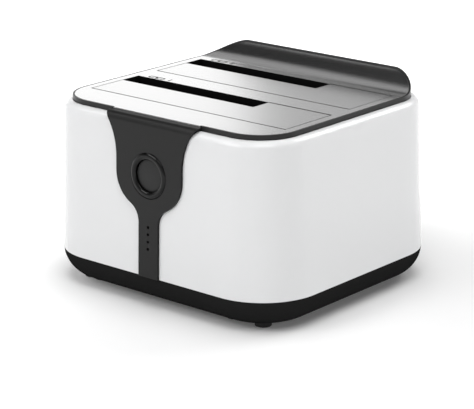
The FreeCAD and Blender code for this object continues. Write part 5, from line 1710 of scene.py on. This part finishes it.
@dataclass
class Studio:
    """The camera, the pale floor, the soft lights and the surroundings.

    A lift is a distance from the painted shade's middle and how much the floor glows there; the weaker glow
    near that middle paints shade on the floor round the object.
    The surroundings' edges are heights of a direction, and the sky's are its X.
    """

    azimuth: float = math.radians(40.73)
    elevation: float = math.radians(17.21)
    roll: float = math.radians(-0.29)
    position: Triple = (0.52504, -0.61319, 0.28023)
    lens: float = 154.26
    sensor: float = 36.0
    clip: Pair = (0.02, 40.0)
    floor_half: float = 6.0
    paper: Colour = (0.82, 0.82, 0.82, 1.0)
    # Middle of the painted shade: the floor glows least here, right of the object, which paints a shadow on
    # it.
    painted_shade_middle: Triple = (0.045, 0.0, 0.0)
    lift_near: Pair = (0.07, 0.07)
    lift_far: Pair = (0.21, 0.65)
    backdrop_white: float = math.sin(math.radians(3))
    backdrop_dark: float = math.sin(math.radians(29))
    backdrop_least: float = 0.01
    ceiling_edge: float = math.sin(math.radians(66))
    ceiling_white: float = math.sin(math.radians(76))
    ceiling_light: float = 3.2
    ceiling_seen: float = 0.35
    sky_edge: Pair = (-0.42, -0.25)
    sky_seen: float = 0.6

    def camera(self) -> None:
        """Sets up the camera."""
        aside, ahead, level = math.sin(self.azimuth), math.cos(self.azimuth), math.cos(self.elevation)
        back = Vector((aside * level, -ahead * level, math.sin(self.elevation)))
        right = Vector((ahead, aside, 0.0))
        up = back.cross(right)
        cosine, sine = math.cos(self.roll), math.sin(self.roll)
        rotation = Matrix((right * cosine + up * sine, up * cosine - right * sine, back)).transposed()
        data = bpy.data.cameras.new("studio_camera")
        data.sensor_width = self.sensor
        data.lens = self.lens
        data.clip_start, data.clip_end = self.clip
        camera = placed("studio_camera", data)
        camera.matrix_world = Matrix.Translation(Vector(self.position)) @ rotation.to_4x4()
        bpy.context.scene.camera = camera

    def floor(self) -> None:
        """Lays a pale floor that keeps the real shadow, glows less towards a point right of the object to
        paint extra shade there, and looks white elsewhere.
        """
        half = self.floor_half
        mesh = bpy.data.meshes.new("floor")
        corners = [(-half, -half, 0), (half, -half, 0), (half, half, 0), (-half, half, 0)]
        mesh.from_pydata(corners, [], [(0, 1, 2, 3)])
        material = bpy.data.materials.new("floor_paper")
        tree = NodeTree.emptied(material)
        ray = tree.add("ShaderNodeLightPath").outputs
        seen = tree.math("MAXIMUM", ray["Is Camera Ray"], ray["Is Glossy Ray"])
        seen = tree.math("MAXIMUM", seen, ray["Is Transmission Ray"])
        paper = tree.add("ShaderNodeBsdfDiffuse", {"Color": self.paper}).outputs[0]
        # Painted shade: the glow grows with distance from a point right of the object, so the floor is darker
        # round it than the real shadow alone makes it.
        ends = {0: tree.coordinates(), 1: self.painted_shade_middle}
        distance = tree.add("ShaderNodeVectorMath", ends, operation="DISTANCE").outputs["Value"]
        (start, low), (end, high) = self.lift_near, self.lift_far
        strength = tree.math("MULTIPLY", seen, tree.ramp(distance, start, end, low, high))
        lift = tree.add("ShaderNodeEmission", {"Color": WHITE, "Strength": strength}).outputs[0]
        both = tree.add("ShaderNodeAddShader", {0: paper, 1: lift}).outputs[0]
        tree.add("ShaderNodeOutputMaterial", {"Surface": both})
        mesh.materials.append(material)
        placed("floor", mesh)

    def lights(self) -> None:
        """Hangs the softboxes, and keeps the flagged ones off the metal that would mirror them."""
        metal = bpy.data.collections.new("bare_metal")
        for name in ("deck_plate_eased", "front_flap_eased", "rear_flap_eased"):
            metal.objects.link(bpy.data.objects[name])
        for member in metal.collection_objects:
            member.light_linking.link_state = "EXCLUDE"
        for softbox in SOFTBOXES:
            lamp = softbox.hang()
            if softbox.flagged:
                lamp.light_linking.receiver_collection = metal

    def surroundings(self) -> None:
        """Sets the surroundings: white to the camera, and dark between horizon and ceiling to the rest."""
        world = bpy.data.worlds.new("studio_world")
        bpy.context.scene.world = world
        tree = NodeTree.emptied(world)
        ray = tree.add("ShaderNodeLightPath").outputs
        way = tree.add("ShaderNodeSeparateXYZ", {0: tree.coordinates("Generated")}).outputs
        horizon = tree.ramp(way["Z"], self.backdrop_white, self.backdrop_dark, 1.0, self.backdrop_least)
        ceiling = tree.ramp(way["Z"], self.ceiling_edge, self.ceiling_white)
        sky = tree.ramp(way["X"], *self.sky_edge, high=self.sky_seen)
        horizon = tree.math("MAXIMUM", horizon, tree.math("MULTIPLY", ray["Is Glossy Ray"], sky))
        dimming = self.ceiling_seen - self.ceiling_light
        strength = tree.math("MULTIPLY_ADD", ray["Is Glossy Ray"], dimming, self.ceiling_light)
        glow = tree.math("MULTIPLY_ADD", ceiling, strength, horizon)
        soft = tree.add("ShaderNodeBackground", {"Color": WHITE, "Strength": glow}).outputs[0]
        white = tree.add("ShaderNodeBackground", {"Color": WHITE, "Strength": 1.0}).outputs[0]
        mixed = tree.add("ShaderNodeMixShader", {0: ray["Is Camera Ray"], 1: soft, 2: white}).outputs[0]
        tree.add("ShaderNodeOutputWorld", {"Surface": mixed})
        bpy.context.scene.view_settings.view_transform = "Standard"

    def build(self) -> None:
        """Sets up the camera, the floor and the light."""
        self.camera()
        self.floor()
        self.lights()
        self.surroundings()
        log.info("studio ready")


def main() -> None:
    """Builds the sub-assemblies and the studio."""
    logging.basicConfig(level=logging.INFO, format="%(name)s: %(message)s")
    assemblies = [
        HousingShell(),
        Deck(),
        *(FlapMechanism(bay) for bay in Bay),
        *(DriveWell(bay) for bay in Bay),
        FrontPanel(),
        CopyButton(),
        BoardStack(),
        RearPorts(),
        Fasteners(),
        Studio(),
    ]
    for assembly in assemblies:
        assembly.build()


if __name__ == "__main__":
    main()
